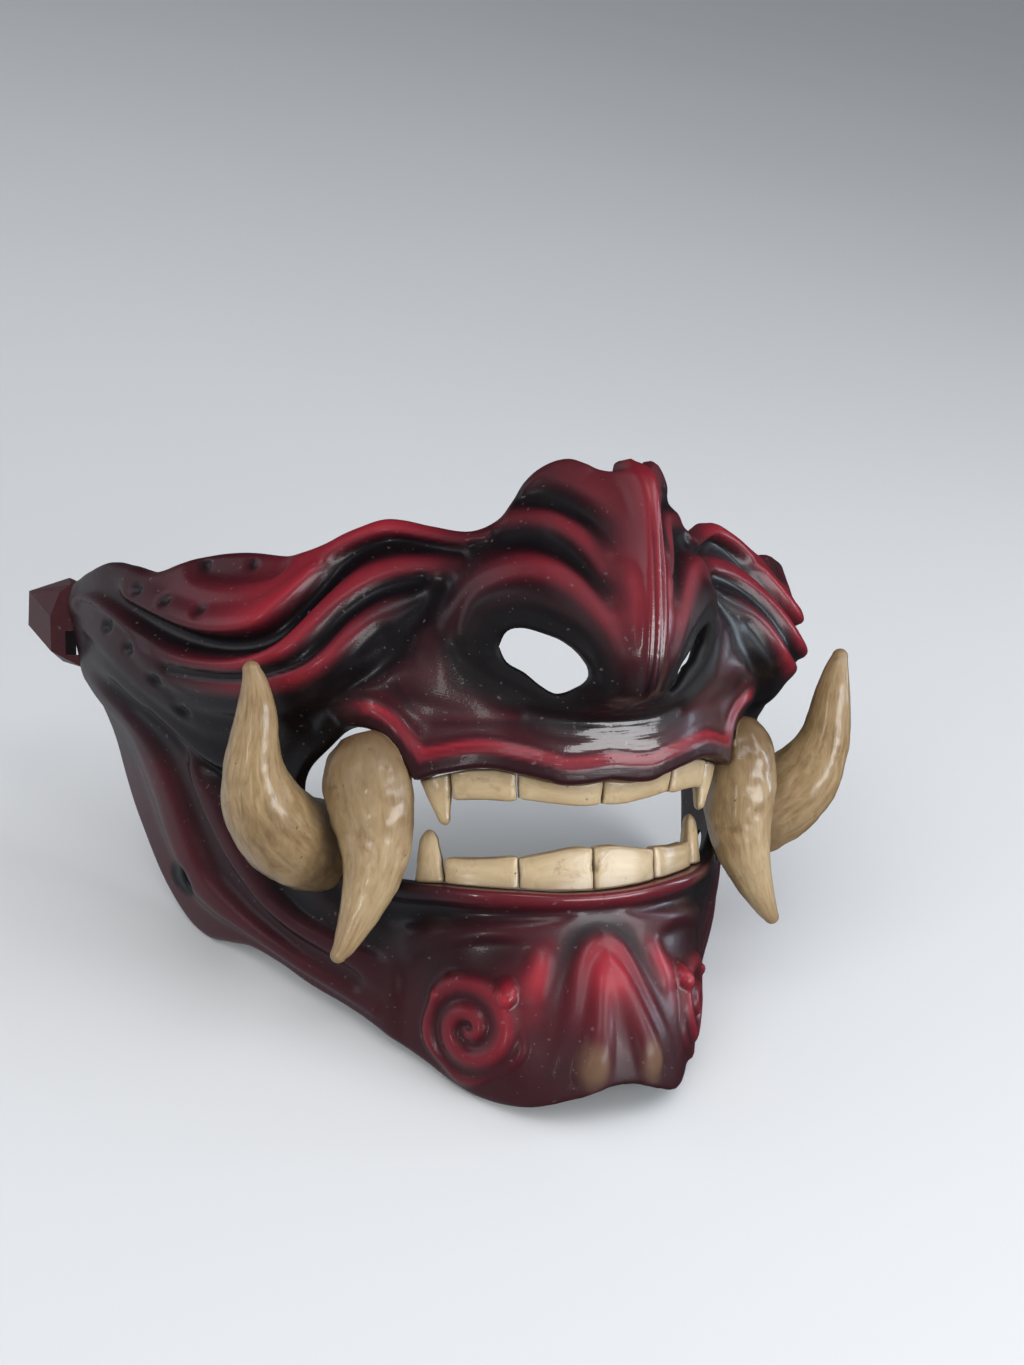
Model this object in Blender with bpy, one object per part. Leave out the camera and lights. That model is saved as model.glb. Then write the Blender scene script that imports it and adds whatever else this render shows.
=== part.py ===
"""Half mask of a horned demon face: one cast shell that covers the nose, cheeks and
jaw, with glued-in teeth and tusks and a strap lug at each ear.

Sizes are in millimetres in the mask's own frame: x to the wearer's left as the front
is looked at from outside (+x to the right in a front view), y backwards, z up the face.
The finished pieces hang on one empty that scales them to metres and tips the mask
back on its chin and jaw corners, as it rests on a table."""
import bpy
import bmesh
import numpy as np
from mathutils import Matrix, Vector
from mathutils.geometry import delaunay_2d_cdt

MESH = 4.6           # mm, spacing of the shell's points
GAP = 1.1            # mm, room that a tooth keeps to the shell
TUSK_GAP = 2.1       # mm, room that a tusk keeps to the shell

# ---------------------------------------------------------------- form of the shell
# The shell is described on a sheet with two axes: TH, the angle round the upright
# line x = 0, y = YC (0 at the front, growing towards the ear), in degrees, and Z, the height
# in millimetres.  RB gives the plain radius there and FOLDS the lines where the
# surface stands above it (ridges) or below it (grooves).
YC = 35.0            # mm, the upright line's distance behind the lip
MM = 1.2             # mm of sheet per degree
WALL = 3.2           # mm, shell thickness

TH_COLS = (0, 20, 40, 60, 80, 100, 125)
RB = (  # z,    0   20   40   60   80  100  125
    (-38, (62, 55, 46, 43, 45, 51, 72)),
    (-20, (61, 57, 50, 47.5, 50, 59, 81)),
    (0,   (53, 52.5, 50.5, 49, 55, 67, 91)),
    (18,  (53, 53, 53, 53, 58, 70.5, 98)),
    (40,  (58, 58, 58, 59, 65, 78.5, 102)),
    (52,  (59, 59, 58, 61, 69, 84, 105)),
    (66,  (60, 60, 60, 70, 79, 93, 111)),
    (82,  (61, 60, 58, 67, 78, 94, 115)),
    (100, (60, 57, 52, 57, 73, 92, 116)),
    (112, (58, 55, 50, 54, 71, 90, 116)))

OUTLINE = (  # th, z : outer edge from the top of the nose, round the ear, to the chin
    (0, 109.5), (2.5, 109.5), (4, 107.5), (7, 109), (10, 111), (14, 109.5), (18, 106.5), (21, 102), (24.5, 98),
    (31, 95.8), (41, 97.5), (51, 99.4), (57.7, 97.4), (63.5, 93.8), (70, 91.6), (78.5, 92.8), (85.5, 92),
    (92.5, 89.2), (98, 91), (103, 92.4), (108, 91), (112.5, 89.6), (115.4, 87.6), (115.7, 80), (115.7, 72), (115.7, 66.5), (117, 61), (119.8, 53),
    (121.2, 43), (120.8, 34), (119.4, 25), (117.2, 13), (113.8, 4), (109.5, -.3), (104, -1), (98, -1.5), (91, -5), (84.5, -9.3), (76, -13.2), (67, -17),
    (57, -21.5), (48, -25.5), (40, -29.5), (31, -32.5), (20, -33.5), (10, -31), (4, -29), (0, -28.5))
SLOT = (  # th, z : edge of the mouth, upper lip from the middle to the cheek and back along the lower lip
    (0, 39.4), (9.5, 38.6), (15, 40), (21, 41.6), (28.5, 43.0), (38.5, 41.8), (42, 40.8), (44.4, 40.8), (46, 43.8), (48.8, 47.6),
    (52, 51), (56, 52.4), (60.6, 51.8), (66.5, 47.6), (72, 43), (75, 38), (75.5, 32), (73, 26), (67, 21), (58, 17.8),
    (49, 16.6), (42, 16.4), (32, 15.6), (21, 14.8), (10, 13.9), (0, 13.6))
NOSTRIL = ((24.6, 70), (23, 73.2), (20, 73.9), (16.3, 72.6), (12.4, 70.2), (9.8, 66.8), (8.3, 62.8), (10.6, 60), (13.5, 59.4), (16.4, 61.3), (19.3, 64), (23, 66.5))
STRAP_HOLE = (109.5, 14.5, 3.3)   # th, z, radius

# name: points (th, z, stand-off, paint).  paint 0 black .. 1 bright red
FOLDS = {
 "nose_ridge": ((0, 109.5, 15, .8), (0, 107, 20.5, .8), (0, 100, 21.5, .85), (0, 86, 21.8, .85), (0, 74, 22, .8), (0, 66, 21.4, .5), (0, 60, 19.5, .25), (0, 57.5, 16, .15)),
 "nose_shoulder": ((3.2, 83, 19, .85), (2.5, 74, 20.2, .8), (2.3, 66, 20, .5), (2.4, 58.5, 16, .15)),
 "nose_tip_side": ((4.2, 67, 18, .4), (4.2, 60, 15, .15)),
 "nose_under": ((0, 54.6, 6.5, .15), (4, 54.6, 6.3, .1), (10, 55.2, 4.6, .1), (16, 56.4, 3, .1), (23, 59.4, 1.6, .08), (31, 64, .8, .08), (33.5, 69.5, .8, .08)),
 "top_lobe": ((20.5, 104, 1.5, .35), (14, 108.5, 4, .5), (9, 105.5, 8, .65), (6, 101, 12, .75), (4.2, 92, 16.5, .8), (3.3, 84, 18.8, .85)),
 "lobe_valley": ((7.5, 108.5, 9, .6), (5, 102, 14.5, .6), (3, 94, 18.6, .5), (2, 87, 20.2, .45), (1.3, 80, 21, .4), (1, 70, 21.2, .35), (1, 60, 19, .2)),
 "groove_1": ((19, 102.4, .5, .1), (12, 101, 2.5, .03), (8.2, 98, 6, .05), (6.2, 92, 10.5, .12), (5.4, 86, 13.5, .25), (5, 80, 15.5, .4)),
 "fold_2": ((23.5, 97.5, 1.5, .5), (18, 98.8, 2.6, .6), (13, 98.6, 4.6, .8), (9.8, 95.4, 7.6, .85), (7.2, 90, 11.2, .75), (6, 84, 14, .6), (5.3, 79.5, 16, .5)),
 "groove_3": ((26, 93, .2, .05), (22.6, 94, .5, .05), (15.6, 93.4, 3, .03), (11.5, 90.2, 6, .03), (8.9, 85, 9.5, .06), (7, 80, 13, .2), (5.9, 76.5, 15.2, .4)),
 "alar": ((33.5, 75, 1.5, .25), (29.5, 84, 3.5, .45), (23, 87.3, 6.5, .6), (17, 87.4, 9, .75), (11.8, 83.5, 12.2, .8), (8.3, 79, 14.8, .8), (5.8, 73.8, 17.2, .75), (4.2, 69, 18.6, .5)),
 "alar_edge": ((31.5, 70, 2, .12), (29, 78.5, 5, .15), (23, 81.2, 8, .2), (17.8, 81, 10.6, .2), (13, 77.2, 13.6, .2), (9.5, 72, 15.8, .22), (7, 67, 16.8, .2), (4.8, 61, 15, .1)),
 "nostril_in": ((26.5, 69, 2.8, .0), (25, 74.5, 5, .0), (20, 75.8, 7.6, .0), (15.5, 74.6, 9.6, .0), (11.2, 72, 12, .0), (8.6, 67.8, 13.2, .0), (6.8, 62, 12.6, .0)),
 "nostril_low": ((25.5, 66, 2.0, .0), (20, 61.8, 2.8, .0), (14.5, 58, 4.6, .0), (9.5, 57.6, 7, .0), (6.3, 59.5, 10.5, .0)),
 "philtrum": ((0, 49, 2.0, .45), (10, 50, 1.2, .4), (22, 52, .5, .4), (34, 54, 0, .35), (44, 58, 0, .25)),
 "cheek_plate": ((40, 72, .5, .25), (38, 64, .5, .4), (47, 62, .5, .3), (30, 57, .5, .35)),
 "lip_line": ((0, 42.3, 1.2, 1), (9.5, 41.2, 1.6, 1), (15, 42.6, 1.8, 1), (21, 44.2, 1.8, 1), (29, 46.8, 1.8, 1), (34, 46.6, 1.6, 1), (39.5, 45.2, 1.4, 1), (43.5, 46.4, 1.4, 1), (47, 51, 1.5, 1), (51, 54.6, 1.5, 1), (56, 55.2, 1.2, .6), (60, 54, .5, .15)),
 "lip_over": ((0, 45, -.3, .5), (9.5, 43.9, 0, .45), (20, 46.6, 0, .4), (30, 49.8, 0, .35), (39.5, 48.6, 0, .3), (45, 53, 0, .3), (50, 57.6, 0, .25), (56, 58, -.5, .1), (62, 56, -1, .05)),
 "top_edge": ((27, 94.5, 2, .5), (34, 94.5, 2.5, .6), (42, 96.3, 2.5, .8), (51, 98, 2.5, .9), (58, 95.5, 2.5, .85), (63, 92.2, 2, .8)),
 "g1": ((112, 87, -.6, .35), (103.3, 84.5, -1, .3), (94, 78.5, -1.8, .15), (86, 73.6, -2.6, .03), (80, 71.5, -3, .0), (74, 71.2, -3, .0), (69, 72.5, -3, .0), (65.5, 76, -3, .0), (62.5, 82, -3, .0), (59.5, 88.5, -2.5, .0), (55.5, 92.4, -2, .0), (49, 93.6, -1.5, .0), (41, 92.6, -1, .05), (33, 91.4, 0, .1)),
 "bowl_rim": ((90, 89.5, .8, .6), (86, 86, 1.5, .75), (81, 83.6, 2, .85), (75.5, 83.2, 2.2, .9), (70.2, 84.2, 2.2, .9), (66.5, 87, 2, .8), (64, 91, 1.5, .8)),
 "bowl": ((83, 88.5, -.8, .5), (77, 87.6, -1.2, .6), (71, 88, -1, .7)),
 "roll": ((97, 84.5, 1.2, .5), (89, 80.5, 2.4, .6), (82, 77.6, 3.2, .8), (76, 76.8, 3.6, .95), (70.5, 78, 3.6, 1), (66.5, 82.5, 3.2, .95), (63.5, 88, 2.6, .9)),
 "f3": ((110, 83, .5, .4), (101, 79, 1, .35), (92, 72.5, 1.5, .4), (86, 69, 3, .7), (80, 67.3, 4, .95), (74, 66.8, 4.4, 1), (69, 67.8, 4.2, 1), (64, 70.6, 3.4, .9), (60.5, 75.5, 2.6, .85), (57.5, 81, 2, .8), (53.5, 85.5, 1.5, .8), (48, 88.2, 1.2, .75), (41, 89, 1, .7), (34, 88.6, 1, .35)),
 "g2": ((88, 66.4, 1.4, .15), (80, 64.9, 1.9, .03), (74, 64.4, 2.1, .0), (69, 65.3, 1.9, .0), (62.5, 67.6, 1, .0), (58.5, 72, .3, .0), (55, 78, -.4, .0), (50, 82.6, -.8, .0), (42, 85, -.8, .0)),
 "f4": ((90, 64.6, 2.2, .4), (84, 63.2, 3.2, .6), (78, 62.3, 3.8, .85), (71, 62.4, 4, .9), (65, 63.8, 3.6, .9), (60, 66, 2.8, .85), (56.5, 69.5, 2, .8), (53, 75, 1.2, .7), (48.5, 79.5, .6, .4), (43, 81.5, 0, .1)),
 "f4_foot": ((90, 60.5, 1.8, .15), (84, 58.6, 3, .1), (77, 57.2, 3.4, .08), (70, 57.4, 3.2, .06), (64, 59, 2.4, .06), (59, 62, 1.2, .05), (54, 67, -.2, .03), (49, 73, -1, .02)),
 "ear_ridge": ((114, 83, 1.4, .45), (107, 84.5, 2, .5), (100.5, 80.5, 2.2, .5), (94, 74, 2.4, .45), (89.5, 66.5, 2.6, .4), (86.5, 61, 2.6, .3)),
 "strip": ((113, 78, .4, .3), (104, 75, 1, .35), (97, 68, 1.6, .35), (93.5, 61, 2, .3), (90, 56, 2.2, .2), (85, 53.5, 1.6, .1), (78, 53, .8, .05)),
 "wing_edge": ((110, 74, -.3, .2), (103.5, 68, .8, .2), (98.5, 60, 1.8, .2), (95.5, 53, 2.2, .15), (92.5, 47.6, 2, .1), (89, 45.4, 1.5, .1), (84, 46.5, .6, .05), (78, 48.5, -.3, .02)),
 "hollow_low": ((91, 31, -1.5, .05), (89.5, 20.5, -1.5, .05), (85.5, 13, -1.5, .05), (79.5, 8, -1.2, .1), (71.5, 4.5, -1, .15), (62, 3, -.6, .15)),
 "hollow": ((103.5, 61, -1.2, .05), (98.8, 51.5, -2, .0), (94.3, 42, -3, .0), (90, 38.6, -3, .0), (85, 40, -2.5, .0), (81, 42, -1.8, .0)),
 "recess_up": ((68, 54, -2, .0), (62, 58.5, -2, .0), (55, 63, -2, .0), (49, 68, -1.5, .0), (45, 74, -1, .02), (41, 79.5, -1, .03), (37, 84, -.8, .05)),
 "slot_rim": ((62, 54, -1, .02), (68.5, 49.5, -1, .0), (74.5, 44.5, -1, .0), (78, 38, -1, .0), (78.5, 31, -1, .0), (75.5, 24, -.5, .05), (68, 18, 0, .1)),
 "band_inner": ((98, 56, .8, .25), (96, 47, 1.2, .25), (96.2, 38, 1.8, .25), (95.6, 28, 2.2, .25), (93.8, 20, 2.2, .25), (90.5, 12.5, 2, .3), (87, 8.5, 1.8, .3), (82.5, 5, 1.5, .3), (75.5, 1.5, 1.3, .3), (67.5, -2.5, 1.2, .3), (59, -7, .8, .3)),
 "band_groove": ((103.5, 55, -.2, .25), (100.5, 47, -.5, .25), (100.5, 38, -.8, .25), (101, 27, -1, .25), (100, 18, -1, .25), (95.5, 11, -1, .25), (91.5, 6.5, -1, .25), (86, 2.2, -.8, .25), (79, -2, -.5, .3), (69.5, -7.3, -.2, .3)),
 "band_outer": ((114, 64, 1, .3), (109.5, 59, 2, .35), (106, 54, 2.4, .35), (104.6, 46, 2.6, .35), (105, 35, 2.6, .35), (106.6, 25, 2.6, .35), (105.6, 16, 2.6, .35), (101.6, 9.6, 2.4, .35), (97, 5, 2, .35), (90.3, .3, 1.7, .35), (83, -5, 1.4, .35), (74, -9.6, 1, .35), (64, -14, .8, .35)),
 "band_edge": ((117.5, 62, -.6, .3), (117, 48, -1, .3), (117, 35, -1.2, .3), (116, 22, -1.2, .3), (112, 8, -1, .3), (106, 2.6, -.8, .3), (97, 0, -.6, .3), (88, -5, -.5, .3), (77, -10.8, -.4, .3), (64, -16.6, 0, .35)),
 "lower_lip": ((0, 12.2, 2.2, .75), (10, 12.6, 2.2, .7), (21, 13.4, 2, .65), (32, 14.2, 1.8, .55), (42, 15, 1.4, .35), (50, 15.2, 1, .15), (58, 15.6, .5, .05)),
 "under_lip": ((0, 9.6, -.6, .3), (10, 9.6, -1, .25), (21, 9.6, -1.4, .2), (32, 9.8, -1.6, .15), (42, 10.5, -1.8, .05), (52, 10.5, -2, .0), (62, 12, -2, .0), (70, 14, -1.5, .0)),
 "flow": ((0, 7.6, .2, .2), (4, 7.4, .6, .2), (8, 6, .4, .35), (12, 5, .6, .4), (20, 4.9, .9, .35), (30, 4.4, 1, .3), (38, 3, 1, .25), (50, 1.5, .8, .2)),
 "lobe_arch": ((0, 3.4, 2, .8), (3.5, 2, 2, .9), (6, -2, 2, .8), (8, -9, 2, .65), (10.5, -17, 1.8, .5), (13, -25, 1, .4)),
 "lobe_mid": ((0, -1, 4, .95), (0, -8, 3.6, .8), (0, -15, 1.6, .6), (0, -22, -.3, .4), (0, -28, 1.8, .3)),
 "lobe_bulb": ((2.5, -4, 4.2, .9), (4, -10, 4.4, .75), (5.5, -17, 4, .6), (6.8, -23, 3.2, .5), (7.5, -28, 1, .4)),
 "lobe_valley2": ((5, 4.5, -.8, .02), (10, 1, -1.2, .03), (12.5, -6, -1, .1), (15.5, -13, -1, .25), (19, -22, -.8, .3)),
 "bump_2": ((12, 2.5, .6, .4), (15, -1, 1.8, .75), (17.5, -7, 1.8, .75), (18.5, -12, .8, .5)),
 "swirl_gap": ((20, -2, -.6, .15), (27, 2.2, -.6, .1), (36, 2, -.6, .1), (44, -2, -.6, .15), (48.5, -9, -.6, .2), (49, -18, -.4, .25), (44, -26, -.2, .3)),
}
PITS = (  # th, z, radius, depth
    (95, 85.2, 1.3, 1.0), (88.5, 82.2, 1.3, 1.0), (81, 79.6, 1.3, .9), (84, 90.2, 1.2, .7), (76, 89.9, 1.2, .7),
    (101, 77, 1.2, 1.1), (95.5, 71.5, 1.2, 1.2), (91.8, 64, 1.2, 1.2), (90.6, 56.6, 1.2, 1.2))
SWIRL = dict(th=34.5, z=-15.5, r=13.0, turns=2.1, height=2.2)   # round scroll on the chin
BALL = dict(th=25.5, z=-8.2, r=3.0)                              # bead at the scroll's tail

# ---------------------------------------------------------------- curves
def nat(xk):
    """matrix that gives a natural cubic spline's second derivatives from its values"""
    xk = np.asarray(xk, float); n = len(xk); A = np.eye(n); B = np.zeros((n, n))
    for i in range(1, n-1):
        h0, h1 = xk[i]-xk[i-1], xk[i+1]-xk[i]
        A[i, i-1:i+2] = (h0, 2*(h0+h1), h1)
        B[i, i-1:i+2] = (6/h0, -6/h0-6/h1, 6/h1)
    return np.linalg.solve(A, B)
def spline(xk, Y, x):
    """Y is (len(x), len(xk)) or (len(xk),)"""
    xk = np.asarray(xk, float); Y = np.asarray(Y, float); x = np.asarray(x, float)
    if Y.ndim == 1: Y = np.broadcast_to(Y, (len(x), len(xk)))
    M = Y @ nat(xk).T
    i = np.clip(np.searchsorted(xk, x)-1, 0, len(xk)-2); j = np.arange(len(x))
    h = xk[i+1]-xk[i]; a = (xk[i+1]-x)/h; b = (x-xk[i])/h
    return a*Y[j, i]+b*Y[j, i+1]+((a**3-a)*M[j, i]+(b**3-b)*M[j, i+1])*h*h/6
def catmull(P, step):
    """round curve through the rows of P, with a point about every step mm (columns 0, 1 are mm)"""
    P = np.asarray(P, float); Q = np.vstack([2*P[0]-P[1], P, 2*P[-1]-P[-2]]); out = []
    for k in range(1, len(Q)-2):
        p0, p1, p2, p3 = Q[k-1:k+3]
        n = max(1, int(np.ceil(np.hypot(*(p2-p1)[:2])/step)))
        for t in np.arange(n)/n:
            out.append(.5*((2*p1)+(p2-p0)*t+(2*p0-5*p1+4*p2-p3)*t*t+(3*p1-p0-3*p2+p3)*t**3))
    out.append(P[-1]); return np.array(out)

# ---------------------------------------------------------------- surface
def base_r(th, z):
    th = np.abs(np.asarray(th, float)); z = np.asarray(z, float)
    zk = [r[0] for r in RB]; T = np.array([r[1] for r in RB], float)
    zc = np.clip(z, zk[0], zk[-1])
    Y = np.stack([spline(zk, T[:, c], zc) for c in range(len(TH_COLS))], -1)
    c = TH_COLS; xk = [-c[2], -c[1]]+list(c)
    return spline(xk, np.hstack([Y[:, 2:3], Y[:, 1:2], Y]), np.clip(th, 0, 130))

_lines = None
def lines():
    global _lines
    if _lines is None:
        _lines = []
        for name, pts in FOLDS.items():
            P = np.array(pts, float); P[:, 0] *= MM
            _lines.append(catmull(P, 2.0))
    return _lines

POWER = 3.4; SOFT = .35; REACH = 7.5
def offset(th, z, power=POWER, soft=SOFT):
    """stand-off and paint at (th, z), blended between the lines of FOLDS by distance"""
    u = np.abs(np.asarray(th, float))*MM; z = np.asarray(z, float)
    num = np.zeros((len(u), 2)); den = np.zeros(len(u))
    w0 = 1/REACH**power
    num[:, 1] += w0*.35; den += w0
    P = np.stack([u, z], -1)
    for L in lines():
        A, B = L[:-1], L[1:]; AB = (B-A)[:, :2]; ll = (AB**2).sum(1)+1e-9
        best = np.full(len(u), 1e9); val = np.zeros((len(u), 2))
        for k in range(len(A)):
            d = P-A[k, :2]; t = np.clip((d@AB[k])/ll[k], 0, 1)
            q = ((d-t[:, None]*AB[k])**2).sum(1); m = q < best
            best[m] = q[m]; val[m] = (A[k, 2:4]+t[:, None]*(B[k, 2:4]-A[k, 2:4]))[m]
        w = (best+soft**2)**(-power/2)
        num += w[:, None]*val; den += w
    return num/den[:, None]

def dot(u, z, th, zz, r):
    """distance from a mark in units of its radius"""
    return np.hypot(u-th*MM, z-zz)/r

def marks(th, z):
    u = np.abs(np.asarray(th, float))*MM; z = np.asarray(z, float)
    d = np.zeros(len(u)); p = np.zeros(len(u))
    for t, zz, r, dep in PITS:
        q = dot(u, z, t, zz, r); g = np.clip(1-(q/1.25)**2, 0, 1)**1.5
        d -= dep*g; p -= .35*g
    s = SWIRL; du = u-s['th']*MM; dz = z-s['z']; q = np.hypot(du, dz)
    inside = np.clip((s['r']-q)/1.6, 0, 1); inside = inside*inside*(3-2*inside)
    ang = np.arctan2(dz, du); turn = s['turns']
    # a spiral groove: phase grows with angle and radius
    ph = (q/s['r'])*turn*2*np.pi*1.0 + ang + 0.6
    rid = .5+.5*np.cos(ph); rid = 1-(1-rid)**1.6
    dome = 1-.25*(q/s['r'])**2
    d += inside*(s['height']*dome - 1.5*(1-rid)*np.clip(1.15-q/s['r'], 0, 1)**.25)
    p += inside*(rid*.45-.12)
    b = BALL; q = dot(u, z, b['th'], b['z'], b['r']); g = np.sqrt(np.clip(1-q*q, 0, 1))
    d += 2.6*g; p += .45*(q < 1)*g
    return d, p

def surf(th, z):
    th = np.asarray(th, float); z = np.asarray(z, float)
    o = offset(th, z); d, p = marks(th, z)
    return base_r(th, z)+o[:, 0]+d, np.clip(o[:, 1]+p, 0, 1)
def xyz(th, z, r):
    t = np.radians(th)
    return np.stack([r*np.sin(t), YC-r*np.cos(t), z+0*r], -1)

def poly_dist(P, L, closed=True):
    A = L; B = np.roll(L, -1, 0) if closed else L[1:]
    if not closed: A = L[:-1]
    best = np.full(len(P), 1e9)
    for a, b in zip(A, B):
        ab = b-a; t = np.clip(((P-a)@ab)/(ab@ab+1e-12), 0, 1)
        best = np.minimum(best, ((P-a-t[:, None]*ab)**2).sum(1))
    return np.sqrt(best)
def inside(P, L):
    x, y = P[:, 0], P[:, 1]; c = np.zeros(len(P), bool)
    for (x0, y0), (x1, y1) in zip(L, np.roll(L, -1, 0)):
        m = (y0 > y) != (y1 > y)
        with np.errstate(all='ignore'):
            c ^= m & (x < (x1-x0)*(y-y0)/(y1-y0+1e-300)+x0)
    return c
def resample(L, h, closed=False):
    L = np.asarray(L, float)
    if closed: L = np.vstack([L, L[:1]])
    s = np.r_[0, np.cumsum(np.hypot(*np.diff(L, axis=0).T))]
    n = max(3, int(round(s[-1]/h))); t = np.linspace(0, s[-1], n+1)
    R = np.stack([np.interp(t, s, L[:, 0]), np.interp(t, s, L[:, 1])], -1)
    return R[:-1] if closed else R
WARP_TH = (0, 2, 5, 9, 14, 20, 40, 60, 80, 100, 125, 140)     # degrees round the upright line
WARP_W = (0, 6, 15, 24, 32, 39.5, 61, 83, 110, 141, 187, 215)  # mm along the sheet's skin
def warp(th): return np.interp(th, WARP_TH, WARP_W)
def unwarp(w): return np.interp(w, WARP_W, WARP_TH)
def sheet(h, rows=()):
    """edge loops and inner points of half the sheet, in mm"""
    def S(T):
        T = np.array(T, float)[:, :2]; return np.stack([warp(T[:, 0]), T[:, 1]], -1)
    out = resample(catmull(S(OUTLINE), h/2), h)[:, :2]; out[0, 0] = out[-1, 0] = 0
    slot = resample(catmull(S(SLOT), h/2), h)[:, :2]; slot[0, 0] = slot[-1, 0] = 0
    low = resample(np.array([out[-1], slot[-1]]), h)[1:-1]     # chin, along the middle, upwards
    high = resample(np.array([slot[0], out[0]]), h)[1:-1]
    ring = np.vstack([out, low, slot[::-1], high])
    kinds = np.r_[np.full(len(out), 1), np.full(len(low), 0), np.full(len(slot), 2), np.full(len(high), 0)]
    nos = S(NOSTRIL); nos = resample(catmull(np.vstack([nos, nos[:1]]), h/2)[:-1], h, True)
    t, z, r = STRAP_HOLE; n = max(8, int(2*np.pi*r/h)); a = np.arange(n)*2*np.pi/n
    hole = np.stack([warp(t)+r*np.cos(a)*1.15, z+r*np.sin(a)], -1)
    x = np.arange(.45*h, 200, h); pts = []
    for k, zz in enumerate(np.arange(-36, 114, h*.866)):
        pts.append(np.stack([x+(h/2 if k % 2 else 0), np.full(len(x), zz)], -1))
    G = np.vstack(pts)
    ok = inside(G, ring) & ~inside(G, nos) & ~inside(G, hole)
    G = G[ok]
    keep = np.minimum(poly_dist(G, ring), np.minimum(poly_dist(G, nos), poly_dist(G, hole))) > .62*h
    return ring, kinds, nos, hole, G[keep]

# ---------------------------------------------------------------- walls
LIP_WALL = 6.0       # mm, thickness along the two lips, where the teeth sit
LIP_REACH = 9.0      # mm, how far from the mouth's edge the thick wall reaches
SLANT_MAX = 2.0      # the wall is measured along the radius, up to this times the thickness on steep sides

def mouth_line():
    P = np.array(SLOT, float); return catmull(np.stack([warp(P[:, 0]), P[:, 1]], -1), 1.5)

def inner_r(th, z, r_out):
    """radius of the back of the wall: the front's, smoothed, less the wall"""
    def smooth(t, zz):
        return base_r(t, zz)+offset(t, zz, 2.2, 4.0)[:, 0]
    r0 = smooth(th, z)
    gt = (smooth(np.abs(th)+1.2, z)-smooth(np.abs(np.abs(th)-1.2), z))/(2.4*np.radians(1)*r0)
    gz = (smooth(th, z+1.2)-smooth(th, z-1.2))/2.4
    slant = np.minimum(np.sqrt(1+gt*gt+gz*gz), SLANT_MAX)
    w = np.stack([warp(np.abs(th)), z], -1)
    near = np.clip(1-(poly_dist(w, mouth_line(), False)-3)/LIP_REACH, 0, 1)
    near = near*near*(3-2*near)*np.clip((62-np.abs(th))/12, 0, 1)
    wall = WALL+(LIP_WALL-WALL)*near
    return np.minimum(r0-wall*slant, r_out-.8*wall)

# ---------------------------------------------------------------- small pieces
LINE = (0, YC)
def ring_points(n, power):
    a = np.arange(n)*2*np.pi/n+np.pi/n; c, s = np.cos(a), np.sin(a); q = 2/power
    return np.stack([np.sign(c)*np.abs(c)**q, np.sign(s)*np.abs(s)**q], -1)

def edge_z(upper, th):
    """height of the mouth's upper or lower edge at th"""
    P = np.array(SLOT, float); k = int(np.argmax(P[:, 0]))
    C = catmull(P, .5)[:, :2]; k = int(np.argmax(C[:, 0])); H = C[:k] if upper else C[k:][::-1]
    return np.interp(np.abs(th), H[:, 0], H[:, 1])

# teeth: th from, th to, tip height at each, tip angle, taper 0..1, outer radius, depth, power of the section
TEETH = {
 "upper_incisor": (.35, 20.6, 33.4, 35.2, 10.4, .10, 56.4, 5.2, 5),
 "upper_premolar": (21.3, 36.2, 35.4, 35.8, 28.8, .10, 56.4, 5.2, 5),
 "upper_fang": (36.9, 44.2, 30.0, 30.0, 39.6, .94, 56.2, 5.2, 2.3),
 "lower_incisor": (.35, 20.2, 23.9, 22.5, 10.3, .10, 50.6, 4.6, 5),
 "lower_premolar": (20.9, 40.0, 22.3, 22.1, 30.4, .10, 50.6, 4.6, 5),
 "lower_fang": (40.8, 48.6, 28.6, 28.6, 44.4, .90, 51.0, 5.0, 2.3),
}
def tooth(row, side, gap, n, rows):
    a, b, za, zb, tip, taper, ro, dep, power = row
    upper = ro > 53; mid = (a+b)/2; half = (b-a)/2; R = []
    sec = ring_points(n, power)
    for s in rows:
        t = s**1.5; c = mid+(tip-mid)*t
        w = half*(1-taper*t)*(1 if taper > .5 else 1-.10*max(0, (s-.78)/.22)**2)
        dd = dep/2*(1-(.80*taper*t if taper > .5 else .30*t))
        th = c+w*sec[:, 0]; r = ro-dep/2+dd*sec[:, 1]-(.8*t if upper else -.2*t)
        root = edge_z(upper, mid+half*sec[:, 0])+(-gap if upper else gap)
        end = za+(zb-za)*(mid+half*sec[:, 0]-a)/(b-a)
        z = root+(end-root)*s
        R.append(xyz(side*th, z, r))
    return R

# tusks: x, y, z of the axis, radius across, radius front to back, degrees that the section is turned
DOWN_TUSK = ((49.6, 2.2, 50.6, 5.0, 4.6), (49.3, 1.6, 48.2, 7.6, 6.6), (49.2, 1.0, 44.8, 9.6, 8.0), (49.2, .3, 40.3, 10.5, 8.5), (48.4, -.3, 34.1, 10.1, 8.7),
             (47.8, -.6, 27.3, 8.6, 8.3), (48.9, -.6, 19.0, 6.7, 6.6), (52.2, -.4, 10.5, 4.5, 4.5), (55.4, -.3, 4.4, 2.5, 2.5), (57.6, 0, .8, .9, .9))
UP_TUSK = ((57.6, 17.0, 27.6, 5.8, 5.8), (60.0, 14.6, 28.2, 8.2, 8.0), (64.2, 11.6, 29.6, 9.5, 9.2), (69.6, 7.4, 32.8, 9.9, 9.4), (73.8, 4.2, 38.6, 8.5, 8.2),
           (75.3, 1.5, 45.4, 6.7, 6.5), (75.3, -.7, 52, 5.4, 5.3), (75.5, -2.2, 58, 4.1, 4.1), (76.3, -2.9, 63.8, 2.4, 2.4), (77, -3.2, 67.2, .8, .8))
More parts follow.
